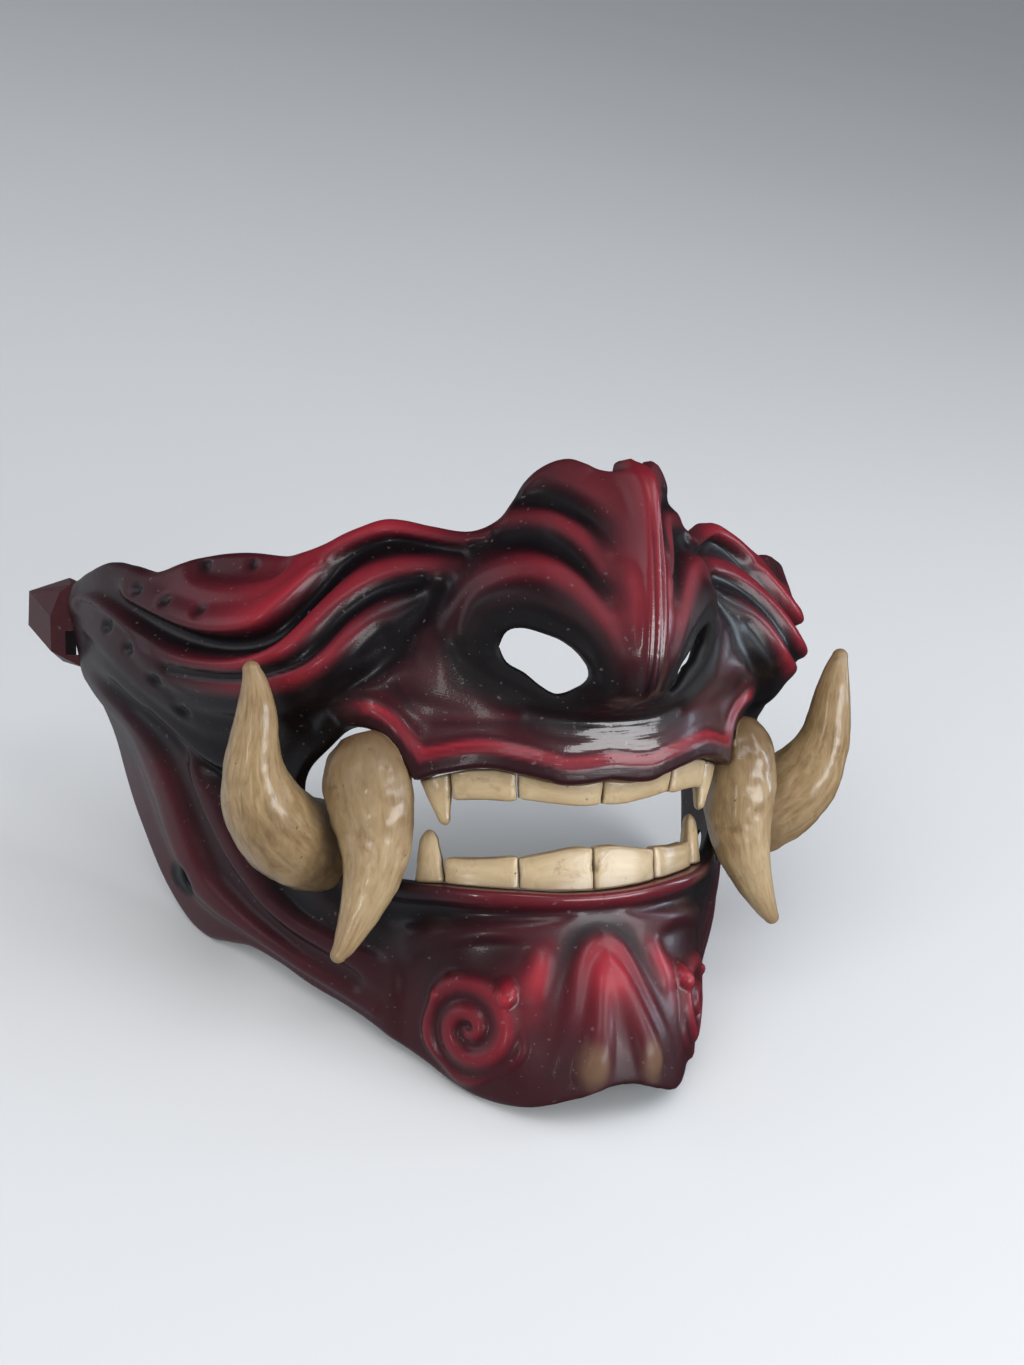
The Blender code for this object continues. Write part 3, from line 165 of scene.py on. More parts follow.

# ---------------------------------------------------------------- curves
def nat(xk):
    """matrix that gives a natural cubic spline's second derivatives from its values"""
    xk = np.asarray(xk, float); n = len(xk); A = np.eye(n); B = np.zeros((n, n))
    for i in range(1, n-1):
        h0, h1 = xk[i]-xk[i-1], xk[i+1]-xk[i]
        A[i, i-1:i+2] = (h0, 2*(h0+h1), h1)
        B[i, i-1:i+2] = (6/h0, -6/h0-6/h1, 6/h1)
    return np.linalg.solve(A, B)
def spline(xk, Y, x):
    """Y is (len(x), len(xk)) or (len(xk),)"""
    xk = np.asarray(xk, float); Y = np.asarray(Y, float); x = np.asarray(x, float)
    if Y.ndim == 1: Y = np.broadcast_to(Y, (len(x), len(xk)))
    M = Y @ nat(xk).T
    i = np.clip(np.searchsorted(xk, x)-1, 0, len(xk)-2); j = np.arange(len(x))
    h = xk[i+1]-xk[i]; a = (xk[i+1]-x)/h; b = (x-xk[i])/h
    return a*Y[j, i]+b*Y[j, i+1]+((a**3-a)*M[j, i]+(b**3-b)*M[j, i+1])*h*h/6
def catmull(P, step):
    """round curve through the rows of P, with a point about every step mm (columns 0, 1 are mm)"""
    P = np.asarray(P, float); Q = np.vstack([2*P[0]-P[1], P, 2*P[-1]-P[-2]]); out = []
    for k in range(1, len(Q)-2):
        p0, p1, p2, p3 = Q[k-1:k+3]
        n = max(1, int(np.ceil(np.hypot(*(p2-p1)[:2])/step)))
        for t in np.arange(n)/n:
            out.append(.5*((2*p1)+(p2-p0)*t+(2*p0-5*p1+4*p2-p3)*t*t+(3*p1-p0-3*p2+p3)*t**3))
    out.append(P[-1]); return np.array(out)

# ---------------------------------------------------------------- surface
def base_r(th, z):
    th = np.abs(np.asarray(th, float)); z = np.asarray(z, float)
    zk = [r[0] for r in RB]; T = np.array([r[1] for r in RB], float)
    zc = np.clip(z, zk[0], zk[-1])
    Y = np.stack([spline(zk, T[:, c], zc) for c in range(len(TH_COLS))], -1)
    c = TH_COLS; xk = [-c[2], -c[1]]+list(c)
    return spline(xk, np.hstack([Y[:, 2:3], Y[:, 1:2], Y]), np.clip(th, 0, 130))

_lines = None
def lines():
    global _lines
    if _lines is None:
        _lines = []
        for name, pts in FOLDS.items():
            P = np.array(pts, float); P[:, 0] *= MM
            _lines.append(catmull(P, 2.0))
    return _lines

POWER = 3.4; SOFT = .8; REACH = 7.5
SOFTER = {"top_lobe": 2.6, "lobe_valley": 2.6, "nose_shoulder": 2.2, "nose_ridge": 1.1, "nose_tip_side": 1.8, "nose_under": 1.4, "philtrum": 2.6, "philtrum_top": 1.6, "cheek_plate": 2.6,
          "alar": 1.5, "alar_edge": 1.7, "fold_2": 1.3, "groove_1": 1.0, "groove_3": 1.0, "nostril_in": 1.4, "nostril_low": 1.7, "lip_over": 1.3, "hollow": 1.7, "hollow_low": 1.7,
          "recess_up": 1.7, "slot_rim": 1.6, "lobe_arch": 1.9, "lobe_mid": 2.8, "lobe_bulb": 2.3, "lobe_valley2": 2.4, "bump_2": 2.8, "swirl_gap": 2.0, "flow": 1.5, "under_lip": 2.2, "lower_lip": .9, "lip_red": .7, "lip_line": .5, "lip_under": .5, "band_outer": .8, "band_inner": 1.0, "band_edge": 1.4,
          "bowl": 1.6, "g1": .9, "band_groove": 1.2}
def offset(th, z, power=POWER, soft=SOFT):
    """stand-off and paint at (th, z), blended between the lines of FOLDS by distance"""
    u = np.abs(np.asarray(th, float))*MM; z = np.asarray(z, float)
    num = np.zeros((len(u), 2)); den = np.zeros(len(u))
    w0 = 1/REACH**power
    num[:, 1] += w0*.35; den += w0
    P = np.stack([u, z], -1)
    for name, L in zip(FOLDS, lines()):
        A, B = L[:-1], L[1:]; AB = (B-A)[:, :2]; ll = (AB**2).sum(1)+1e-9
        best = np.full(len(u), 1e9); val = np.zeros((len(u), 2))
        for k in range(len(A)):
            d = P-A[k, :2]; t = np.clip((d@AB[k])/ll[k], 0, 1)
            q = ((d-t[:, None]*AB[k])**2).sum(1); m = q < best
            best[m] = q[m]; val[m] = (A[k, 2:4]+t[:, None]*(B[k, 2:4]-A[k, 2:4]))[m]
        w = (best+max(soft, SOFTER.get(name, 0))**2)**(-power/2)
        num += w[:, None]*val; den += w
    return num/den[:, None]

def dot(u, z, th, zz, r):
    """distance from a mark in units of its radius"""
    return np.hypot(u-th*MM, z-zz)/r

def marks(th, z):
    u = np.abs(np.asarray(th, float))*MM; z = np.asarray(z, float)
    d = np.zeros(len(u)); p = np.zeros(len(u))
    for t, zz, r, dep in PITS:
        q = dot(u, z, t, zz, r); g = np.clip(1-(q/1.25)**2, 0, 1)**1.5
        d -= dep*g; p -= .45*g
    s = SWIRL; du = (u-s['th']*MM)*s['wide']; dz = z-s['z']; q = np.hypot(du, dz)/s['r']; ang = np.arctan2(dz, du)
    inside = np.clip((1.06+.05*np.cos(5*ang+1)-q)*s['r']/2.2, 0, 1); inside = inside*inside*(3-2*inside)
    # a spiral groove: its phase grows with angle and radius
    ph = q**.9*s['turns']*2*np.pi+ang+.6; rid = .5+.5*np.cos(ph); rid = 1-(1-rid)**1.35
    dome = 1-.22*q**2; core = np.clip(q/.16, 0, 1)
    d += inside*(s['height']*dome-1.55*(1-rid)*np.clip(1.18-q, 0, 1)**.3-.7*(1-core))
    p += inside*(rid*.40+.0-.12*(1-core))
    seam = np.exp(-((np.abs(th)-.62)/.24)**2)*np.clip((z-57)/4, 0, 1)*np.clip((101-z)/9, 0, 1)
    d -= .5*seam; p -= .22*seam
    for t, zz, r, h, c in BALLS:
        g = np.sqrt(np.clip(1-dot(u, z, t, zz, r)**2, 0, 1)); d += h*g; p += c*g
    # a shallow dish round the strap hole: its paint goes to black as painted shade, standing in for the dark opening
    # of the hole
    s = HOLE_SHADE_DISH; q = np.hypot((u-s['th']*MM)*s['wide'], z-s['z'])/s['r']; g = np.clip((1.04-q)*6, 0, 1)
    d -= .5*g; p -= g
    return d, p

def surf(th, z):
    th = np.asarray(th, float); z = np.asarray(z, float)
    o = offset(th, z); d, p = marks(th, z)
    return base_r(th, z)+o[:, 0]+d, np.clip(o[:, 1]+p, 0, 1)
def xyz(th, z, r):
    t = np.radians(th)
    return np.stack([r*np.sin(t), YC-r*np.cos(t), z+0*r], -1)

def poly_dist(P, L, closed=True):
    A = L; B = np.roll(L, -1, 0) if closed else L[1:]
    if not closed: A = L[:-1]
    best = np.full(len(P), 1e9)
    for a, b in zip(A, B):
        ab = b-a; t = np.clip(((P-a)@ab)/(ab@ab+1e-12), 0, 1)
        best = np.minimum(best, ((P-a-t[:, None]*ab)**2).sum(1))
    return np.sqrt(best)
def inside(P, L):
    x, y = P[:, 0], P[:, 1]; c = np.zeros(len(P), bool)
    for (x0, y0), (x1, y1) in zip(L, np.roll(L, -1, 0)):
        m = (y0 > y) != (y1 > y)
        with np.errstate(all='ignore'):
            c ^= m & (x < (x1-x0)*(y-y0)/(y1-y0+1e-300)+x0)
    return c
def resample(L, h, closed=False):
    L = np.asarray(L, float)
    if closed: L = np.vstack([L, L[:1]])
    s = np.r_[0, np.cumsum(np.hypot(*np.diff(L, axis=0).T))]
    n = max(3, int(round(s[-1]/h))); t = np.linspace(0, s[-1], n+1)
    R = np.stack([np.interp(t, s, L[:, 0]), np.interp(t, s, L[:, 1])], -1)
    return R[:-1] if closed else R
WARP_TH = (0, 2, 5, 9, 14, 20, 40, 60, 80, 100, 125, 140)     # degrees round the upright line
WARP_W = (0, 6, 15, 24, 32, 39.5, 61, 83, 110, 141, 187, 215)  # mm along the sheet's skin
def warp(th): return np.interp(th, WARP_TH, WARP_W)
def unwarp(w): return np.interp(w, WARP_W, WARP_TH)
def sheet(h, rows=()):
    """edge loops and inner points of half the sheet, in mm"""
    def S(T):
        T = np.array(T, float)[:, :2]; return np.stack([warp(T[:, 0]), T[:, 1]], -1)
    out = resample(catmull(S(OUTLINE), h/2), h)[:, :2]; out[0, 0] = out[-1, 0] = 0
    slot = resample(catmull(S(SLOT), h/2), h)[:, :2]; slot[0, 0] = slot[-1, 0] = 0
    low = resample(np.array([out[-1], slot[-1]]), h)[1:-1]     # chin, along the middle, upwards
    high = resample(np.array([slot[0], out[0]]), h)[1:-1]
    ring = np.vstack([out, low, slot[::-1], high])
    kinds = np.r_[np.full(len(out), 1), np.full(len(low), 0), np.full(len(slot), 2), np.full(len(high), 0)]
    nos = S(NOSTRIL); nos = resample(catmull(np.vstack([nos, nos[:1]]), h/2)[:-1], h, True)
    t, z, r = STRAP_HOLE; n = max(8, int(2*np.pi*r/h)); a = np.arange(n)*2*np.pi/n
    hole = np.stack([warp(t)+r*np.cos(a)*1.15, z+r*np.sin(a)], -1)
    x = np.arange(.45*h, 200, h); pts = []
    for k, zz in enumerate(np.arange(-36, 114, h*.866)):
        pts.append(np.stack([x+(h/2 if k % 2 else 0), np.full(len(x), zz)], -1))
    G = np.vstack(pts)
    ok = inside(G, ring) & ~inside(G, nos) & ~inside(G, hole)
    G = G[ok]
    keep = np.minimum(poly_dist(G, ring), np.minimum(poly_dist(G, nos), poly_dist(G, hole))) > .62*h
    return ring, kinds, nos, hole, G[keep]

# ---------------------------------------------------------------- walls
LIP_WALL = 6.0       # mm, thickness along the two lips, where the teeth sit
LIP_REACH = 9.0      # mm, how far from the mouth's edge the thick wall reaches
SLANT_MAX = 2.0      # the wall is measured along the radius, up to this times the thickness on steep sides

def mouth_line():
    P = np.array(SLOT, float); return catmull(np.stack([warp(P[:, 0]), P[:, 1]], -1), 1.5)

def inner_r(th, z, r_out):
    """radius of the back of the wall: the front's, smoothed, less the wall"""
    def smooth(t, zz):
        return base_r(t, zz)+offset(t, zz, 2.2, 4.0)[:, 0]
    r0 = smooth(th, z)
    gt = (smooth(np.abs(th)+1.2, z)-smooth(np.abs(np.abs(th)-1.2), z))/(2.4*np.radians(1)*r0)
    gz = (smooth(th, z+1.2)-smooth(th, z-1.2))/2.4
    slant = np.minimum(np.sqrt(1+gt*gt+gz*gz), SLANT_MAX)
    w = np.stack([warp(np.abs(th)), z], -1)
    near = np.clip(1-(poly_dist(w, mouth_line(), False)-3)/LIP_REACH, 0, 1)
    near = near*near*(3-2*near)*np.clip((62-np.abs(th))/12, 0, 1)
    wall = WALL+(LIP_WALL-WALL)*near
    return np.minimum(r0-wall*slant, r_out-.8*wall)

# ---------------------------------------------------------------- small pieces
LINE = (0, YC)
def ring_points(n, power):
    a = np.arange(n)*2*np.pi/n+np.pi/n; c, s = np.cos(a), np.sin(a); q = 2/power
    return np.stack([np.sign(c)*np.abs(c)**q, np.sign(s)*np.abs(s)**q], -1)

def edge_z(upper, th):
    """height of the mouth's upper or lower edge at th"""
    P = np.array(SLOT, float); k = int(np.argmax(P[:, 0]))
    C = catmull(P, .5)[:, :2]; k = int(np.argmax(C[:, 0])); H = C[:k] if upper else C[k:][::-1]
    return np.interp(np.abs(th), H[:, 0], H[:, 1])

# teeth: th from, th to, tip height at each, tip angle, taper 0..1, outer radius, depth, power of the section
TEETH = {
 "upper_incisor": (.35, 20.6, 33.4, 35.2, 10.4, .10, 56.4, 5.2, 5),
 "upper_premolar": (21.3, 36.2, 35.4, 35.8, 28.8, .10, 56.4, 5.2, 5),
 "upper_fang": (36.9, 44.2, 30.0, 30.0, 39.6, .94, 56.2, 5.2, 2.3),
 "lower_incisor": (.35, 20.2, 23.9, 22.5, 10.3, .10, 50.6, 4.6, 5),
 "lower_premolar": (20.9, 40.0, 22.3, 22.1, 30.4, .10, 50.6, 4.6, 5),
 "lower_fang": (40.8, 48.6, 28.6, 28.6, 44.4, .90, 51.0, 5.0, 2.3),
}
def tooth(row, side, gap, n, rows):
    a, b, za, zb, tip, taper, ro, dep, power = row
    upper = ro > 53; mid = (a+b)/2; half = (b-a)/2; R = []
    sec = ring_points(n, power)
    for s in rows:
        t = s**1.5; c = mid+(tip-mid)*t
        w = half*(1-taper*t)*(1 if taper > .5 else 1-.10*max(0, (s-.78)/.22)**2)
        dd = dep/2*(1-(.80*taper*t if taper > .5 else .30*t))
        th = c+w*sec[:, 0]; r = ro-dep/2+dd*sec[:, 1]-(.8*t if upper else -.2*t)
        root = edge_z(upper, mid+half*sec[:, 0])+(-gap if upper else gap)
        end = za+(zb-za)*(mid+half*sec[:, 0]-a)/(b-a)
        z = root+(end-root)*s
        R.append(xyz(side*th, z, r))
    return R

# tusks: x, y, z of the axis, radius across, radius front to back, degrees that the section is turned
DOWN_TUSK = ((49.6, 2.2, 50.6, 5.0, 4.6), (49.3, 1.6, 48.2, 7.6, 6.6), (49.2, 1.0, 44.8, 9.6, 8.0), (49.2, .3, 40.3, 10.5, 8.5), (48.4, -.3, 34.1, 10.1, 8.7),
             (47.8, -.6, 27.3, 8.6, 8.3), (48.9, -.6, 19.0, 6.7, 6.6), (52.2, -.4, 10.5, 4.5, 4.5), (55.4, -.3, 4.4, 2.5, 2.5), (57.6, 0, .8, .9, .9))
UP_TUSK = ((57.6, 17.0, 27.6, 5.8, 5.8), (60.0, 14.6, 28.2, 8.2, 8.0), (64.2, 11.6, 29.6, 9.5, 9.2), (69.6, 7.4, 32.8, 9.9, 9.4), (73.8, 4.2, 38.6, 8.5, 8.2),
           (75.3, 1.5, 45.4, 6.7, 6.5), (75.3, -.7, 52, 5.4, 5.3), (75.5, -2.2, 58, 4.1, 4.1), (76.3, -2.9, 63.8, 2.4, 2.4), (77, -3.2, 67.2, .8, .8))
SECTION_TURN = 55.0      # degrees, the down tusk's wide side follows the lip

def tusk(rows, side, n, step, turn):
    """rings round the axis, each square to it"""
    P = np.array(rows, float); Q = catmull(P[:, [0, 2, 1, 3, 4]], step)[:, [0, 2, 1, 3, 4]]
    C = Q[:, :3]; T = np.gradient(C, axis=0); T /= np.linalg.norm(T, axis=1)[:, None]
    a = np.arange(n)*2*np.pi/n; R = []
    g = np.array([np.cos(np.radians(turn)), np.sin(np.radians(turn)), 0])
    for c, t, row in zip(C, T, Q):
        u = g-t*(g@t); u /= np.linalg.norm(u); v = np.cross(t, u); g = u
        p = c+row[3]*np.cos(a)[:, None]*u+row[4]*np.sin(a)[:, None]*v
        R.append(p*(side, 1, 1))
    return R

def settle(V, gap):
    """moves a point that is in the shell's wall, or nearer than gap, to the nearest way out"""
    V = V.copy(); d = V[:, :2]-LINE; r = np.hypot(d[:, 0], d[:, 1]); th = np.degrees(np.arctan2(d[:, 0], -d[:, 1])); s = np.sign(th); th = np.abs(th); z = V[:, 2]
    ro, _ = surf(th, z); ri = inner_r(th, z, ro); L = mouth_line(); w = np.stack([warp(th), z], -1)
    P = L[:-1]; E = (L[1:]-P)[:, :2]; best = np.full(len(w), 1e9); foot = w.copy()
    for p, e in zip(P[:, :2], E):
        t = np.clip(((w-p)@e)/(e@e), 0, 1); f = p+t[:, None]*e; q = np.hypot(*(w-f).T); m = q < best; best[m] = q[m]; foot[m] = f[m]
    ring = np.vstack([L[:, :2], [[0, L[-1, 1]]]]); inn = ~inside(w, ring); sd = np.where(inn, best, -best)
    for i in np.where((sd > -gap) & (r < ro+gap) & (r > ri-gap))[0]:
        cost = (sd[i]+gap, ro[i]+gap-r[i], r[i]-ri[i]+gap); k = int(np.argmin(cost))
        if k == 0:
            dirn = (foot[i]-w[i])*(1 if inn[i] else -1); dirn = dirn/(np.hypot(*dirn)+1e-9); q = foot[i]+dirn*gap
            V[i] = xyz(np.array([s[i]*unwarp(q[0])]), np.array([q[1]]), np.array([r[i]]))[0]
        else:
            V[i] = xyz(np.array([s[i]*th[i]]), np.array([z[i]]), np.array([ro[i]+gap if k == 1 else ri[i]-gap]))[0]
    return V

# strap lug: corners as distance from the upright line, height, and way behind the ear's cut
LUG_PLANE = 116.0        # degrees, the cut where the shell ends and the lug starts
LUG = ((100.5, 68.6, 0), (105.2, 67.2, 0), (113.0, 71.4, 0), (113.0, 80.2, 0), (110.4, 86.4, 0), (107.6, 88.2, 0), (101.5, 86.8, 0),
       (103.0, 68.4, 11.5), (112.8, 68.8, 11.5), (121.6, 78.4, 11.5), (121.2, 87.2, 11.5), (110.6, 90.4, 11.5), (104.4, 86.4, 11.5))
LUG_SLOT = (106.6, 73.4, 5.4, 6.0)   # distance, height, width, height of the square slot
def lug_point(rho, z, off, side, gap=.35):
    t = np.radians(LUG_PLANE); return (side*(rho*np.sin(t)+(off+gap)*np.cos(t)), YC-rho*np.cos(t)+(off+gap)*np.sin(t), z)

# ---------------------------------------------------------------- rest pose
PITCH = 26.26            # degrees, how far the mask lies back on its chin and jaw corners
LIFT = (0, -44.26, 26.86)   # mm, brings the lowest point to z = 0 and the middle of the box to the origin

def world(V):
    """mask frame in mm to the row's frame in metres"""
    V = np.asarray(V, float); c, s = np.cos(np.radians(PITCH)), np.sin(np.radians(PITCH))
    return (np.stack([V[:, 0], V[:, 1]*c+V[:, 2]*s, -V[:, 1]*s+V[:, 2]*c], -1)+np.array(LIFT))/1000

def smooth(x, a, b):
    t = np.clip((x-a)/(b-a), 0, 1); return t*t*(3-2*t)

def wave(P, scale, seed=0):
    """smooth noise at points P (mm), about -1 to 1"""
    o = Vector((seed*17.3, seed*5.1, seed*9.7)); return np.array([noise.noise(Vector(p)/scale+o) for p in P])*1.6

# ---------------------------------------------------------------- shell
def offset_rows(L, dist, closed):
    """points at dist inside or outside a line, on the side given by dist's sign"""
    if closed: T = np.roll(L, -1, 0)-np.roll(L, 1, 0)
    else: T = np.gradient(L, axis=0)
    T = T/(np.linalg.norm(T, axis=1)[:, None]+1e-9)
    return L+np.stack([-T[:, 1], T[:, 0]], -1)*dist

def sheet_points(h, rows):
    """edge loops, inner points spaced h, and rows of points that follow the edges"""
    ring, kinds, nos, hole, G = sheet(FINE)
    if h != FINE:
        x = np.arange(.45*h, 200, h); pts = []
        for k, zz in enumerate(np.arange(-36, 114, h*.866)):
            pts.append(np.stack([x+(h/2 if k % 2 else 0), np.full(len(x), zz)], -1))
        G = np.vstack(pts)
    edge = [np.vstack([ring[kinds == 1]]), ring[kinds == 2][::-1], nos, hole]
    near = []
    for d in rows:
        for k, L in enumerate(edge):
            for s in (-1, 1):
                Q = offset_rows(L, s*d, k > 1)
                ok = inside(Q, ring) & ~inside(Q, nos) & ~inside(Q, hole) & (Q[:, 0] > .3)
                Q = Q[ok]
                if len(Q): near.append(Q[edge_dist(Q, edge) > .93*d])
    near = np.vstack(near)
    G = G[inside(G, ring) & ~inside(G, nos) & ~inside(G, hole)]
    G = G[edge_dist(G, edge) > rows[-1]+.5*h]
    return ring, kinds, nos, hole, np.vstack([near, G]), edge

def edge_dist(P, edge):
    best = np.full(len(P), 1e9)
    for k, L in enumerate(edge): best = np.minimum(best, poly_dist(P, L, k > 1))
    return best

def flat_mesh(ring, nos, hole, G):
    P = np.vstack([ring, nos, hole, G]); edges = []; k = 0
    for L in (ring, nos, hole):
        edges += [(k+i, k+(i+1) % len(L)) for i in range(len(L))]; k += len(L)
    v, e, f, ov, oe, of = delaunay_2d_cdt([Vector(p) for p in P], edges, [], 0, 1e-6)
    v = np.array([tuple(p) for p in v]); f = np.array([t for t in f if len(t) == 3])
    C = v[f].mean(1); f = f[inside(C, ring) & ~inside(C, nos) & ~inside(C, hole)]
    return v, f, k

def fine_shell():
    ring, kinds, nos, hole, G, edge = sheet_points(FINE, (.28, .75, 1.35))
    vo, fo, k = flat_mesh(ring, nos, hole, G)
    ring2, _, _, _, G2, _ = sheet_points(INNER, (.6,))
    vi, fi, k2 = flat_mesh(ring, nos, hole, G2)
    th = unwarp(vo[:, 0]); ro, paint = surf(th, vo[:, 1]); d = edge_dist(vo, edge)
    ro, paint, gold, polish, matte = detail(th, vo[:, 1], ro, paint, d)
    t = np.clip(d/RIM, 0, 1); ro = ro-RIM*(1-np.sqrt(np.clip(1-(1-t)**2, 0, 1)))
    th2 = unwarp(vi[:, 0]); ro2, _ = surf(th2, vi[:, 1]); ri2 = inner_r(th2, vi[:, 1], ro2); d2 = edge_dist(vi, edge)
    t = np.clip(d2/.8, 0, 1); ri2 = ri2+.8*(1-np.sqrt(np.clip(1-(1-t)**2, 0, 1)))
    ri2 = np.minimum(ri2, ro2-1.2)
    out = xyz(th, vo[:, 1], ro); inn = xyz(th2, vi[:, 1], ri2)
    no, ni = len(vo), len(vi)
    flip = np.array([-1, 1, 1])
    V = np.vstack([out, out*flip, inn, inn*flip])
    back = np.interp(d2, (0, 3), (1, 0)); pin = surf(th2, vi[:, 1])[1]*back*.8+.16*(1-back)
    P = np.r_[paint, paint, pin, pin]; Gd = np.r_[gold, gold, np.zeros(2*ni)]; I = np.r_[np.zeros(2*no), np.ones(2*ni)]
    # front faces look outwards: the sheet's own triangles turn the right way round
    e1 = vo[fo[:, 1]]-vo[fo[:, 0]]; e2 = vo[fo[:, 2]]-vo[fo[:, 0]]
    fo = np.where((e1[:, 0]*e2[:, 1]-e1[:, 1]*e2[:, 0] > 0)[:, None], fo, fo[:, ::-1])
    e1 = vi[fi[:, 1]]-vi[fi[:, 0]]; e2 = vi[fi[:, 2]]-vi[fi[:, 0]]
    fi = np.where((e1[:, 0]*e2[:, 1]-e1[:, 1]*e2[:, 0] > 0)[:, None], fi, fi[:, ::-1])
    F = [tuple(t) for t in fo]+[tuple(t[::-1]+no) for t in fo]+[tuple(t[::-1]+2*no) for t in fi]+[tuple(t+2*no+ni) for t in fi]
    count = set()
    for t in fo:
        for i in range(3): count.add((int(t[i]), int(t[(i+1) % 3])))
    near_i = {(round(p[0], 4), round(p[1], 4)): i for i, p in enumerate(vi[:k2+10])}
    mate = {}
    for i, p in enumerate(vo):
        q = near_i.get((round(p[0], 4), round(p[1], 4)))
        if q is not None: mate[i] = q
    for a, b in count:
        if (b, a) in count or (vo[a, 0] < 1e-6 and vo[b, 0] < 1e-6): continue
        p, q = mate[a], mate[b]
        F.append((b, a, p+2*no, q+2*no)); F.append((a+no, b+no, q+2*no+ni, p+2*no+ni))
    me = bpy.data.meshes.new("mask_skin"); me.from_pydata([tuple(p) for p in world(V)], [], F); me.update()
    for name, val in (("paint", P), ("gold", Gd), ("inside", I), ("polish", np.r_[polish, polish, np.zeros(2*ni)]), ("matte", np.r_[matte, matte, np.full(2*ni, .6)])):
        a = me.attributes.new(name, "FLOAT", "POINT"); a.data.foreach_set("value", val.astype(np.float32))
    bm = bmesh.new(); bm.from_mesh(me)
    bmesh.ops.remove_doubles(bm, verts=[v for v in bm.verts if abs(v.co.x) < 2e-6], dist=5e-6)
    bmesh.ops.triangulate(bm, faces=[f for f in bm.faces if len(f.verts) > 3])
    bm.to_mesh(me); bm.free(); me.shade_smooth()
    o = bpy.data.objects.new("mask_skin", me); bpy.context.collection.objects.link(o)
    return o

def detail(th, z, ro, paint, d):
    """finer relief and rubbed metal of the outside"""
    u = np.abs(th)*MM
    lobe = np.clip(1-np.hypot((u-8.3)/5.6, (z+23.5)/7.5), 0, 1)
    gold = smooth(lobe, .05, .75)
    # the lip: a dark face, a thin bright line along its crest, a darker field above it
    face = (np.abs(th) < 54)*(z > 37)*(z < 54+8*smooth(np.abs(th), 42, 46)); low = face*(1-smooth(d, 2.9, 3.6)); red = face*smooth(d, 3.3, 3.9)*(1-smooth(d, 4.7, 5.8))
    paint = paint*(1-low)+.29*low; paint = paint*(1-red)+.76*red; paint = paint*(1-.30*face*smooth(d, 5.8, 7.2)*(1-smooth(d, 13, 19)))
    paint = paint*(1-.32*smooth(np.abs(th), 62, 84)*smooth(z, 40, 50))
    w = np.stack([warp(np.abs(th)), z], -1); ring = np.stack([warp(np.array([p[0] for p in NOSTRIL])), [p[1] for p in NOSTRIL]], -1)
    matte = 1-smooth(poly_dist(w, ring), 6, 13)
    polish = smooth(19-np.abs(th), 0, 6)*smooth(z, 42, 44)*smooth(57-z, 0, 4)+.9*smooth(2.9-np.abs(th), 0, 1)*smooth(z, 58, 64)*smooth(96-z, 0, 12)
    polish = polish+.6*smooth(44-np.abs(th), 0, 8)*smooth(z, 8, 11)*smooth(20-z, 0, 3)
    bead = np.exp(-((np.abs(th)-1.45)/.5)**2)*smooth(z, 58, 66)*smooth(98-z, 0, 14); ro = ro+.42*bead
    flank = smooth(np.abs(th), 2.6, 4)*smooth(17-np.abs(th), 0, 5)*smooth(z, 62, 70); chin = smooth(24-np.abs(th), 0, 6)*smooth(8-z, 0, 3)
    return ro, paint, gold, polish, np.clip(matte*(1-smooth(paint, .12, .3))+.9*flank+chin*(.12+.73*(1-smooth(paint, .3, .5))), 0, 1)

# ---------------------------------------------------------------- teeth and tusks
def clear_of_shell(V, gap):
    """settle, for the points that are anywhere near the shell's wall"""
    d = V[:, :2]-LINE; r = np.hypot(d[:, 0], d[:, 1]); th = np.degrees(np.arctan2(d[:, 0], -d[:, 1]))
    near = np.abs(r-base_r(th, V[:, 2])-1) < 9; V = V.copy()
    if near.any(): V[near] = settle(V[near], gap)
    return V

def piece(name, V, F, attrs):
    me = bpy.data.meshes.new(name); me.from_pydata([tuple(map(float, p)) for p in world(V)], [], [tuple(map(int, f)) for f in F]); me.update()
    for k, val in attrs.items():
        if val.ndim == 2:
            a = me.attributes.new(k, "FLOAT_VECTOR", "POINT"); a.data.foreach_set("vector", val.astype(np.float32).ravel())
        else:
            a = me.attributes.new(k, "FLOAT", "POINT"); a.data.foreach_set("value", val.astype(np.float32))
    bm = bmesh.new(); bm.from_mesh(me); bmesh.ops.recalc_face_normals(bm, faces=bm.faces[:])
    if bm.calc_volume(signed=True) < 0: bmesh.ops.reverse_faces(bm, faces=bm.faces[:])
    bm.to_mesh(me); bm.free(); me.shade_smooth()
    o = bpy.data.objects.new(name, me); bpy.context.collection.objects.link(o); return o

def skin(rings):
    V = np.vstack(rings); n = len(rings[0]); F = []
    for k in range(len(rings)-1):
        for i in range(n):
            j = (i+1) % n; F.append((k*n+i, k*n+j, (k+1)*n+j, (k+1)*n+i))
    V = np.vstack([V, rings[0].mean(0), rings[-1].mean(0)]); c0, c1 = len(V)-2, len(V)-1; m = (len(rings)-1)*n
    for i in range(n):
        j = (i+1) % n; F.append((c0, j, i)); F.append((c1, m+i, m+j))
    return V, F

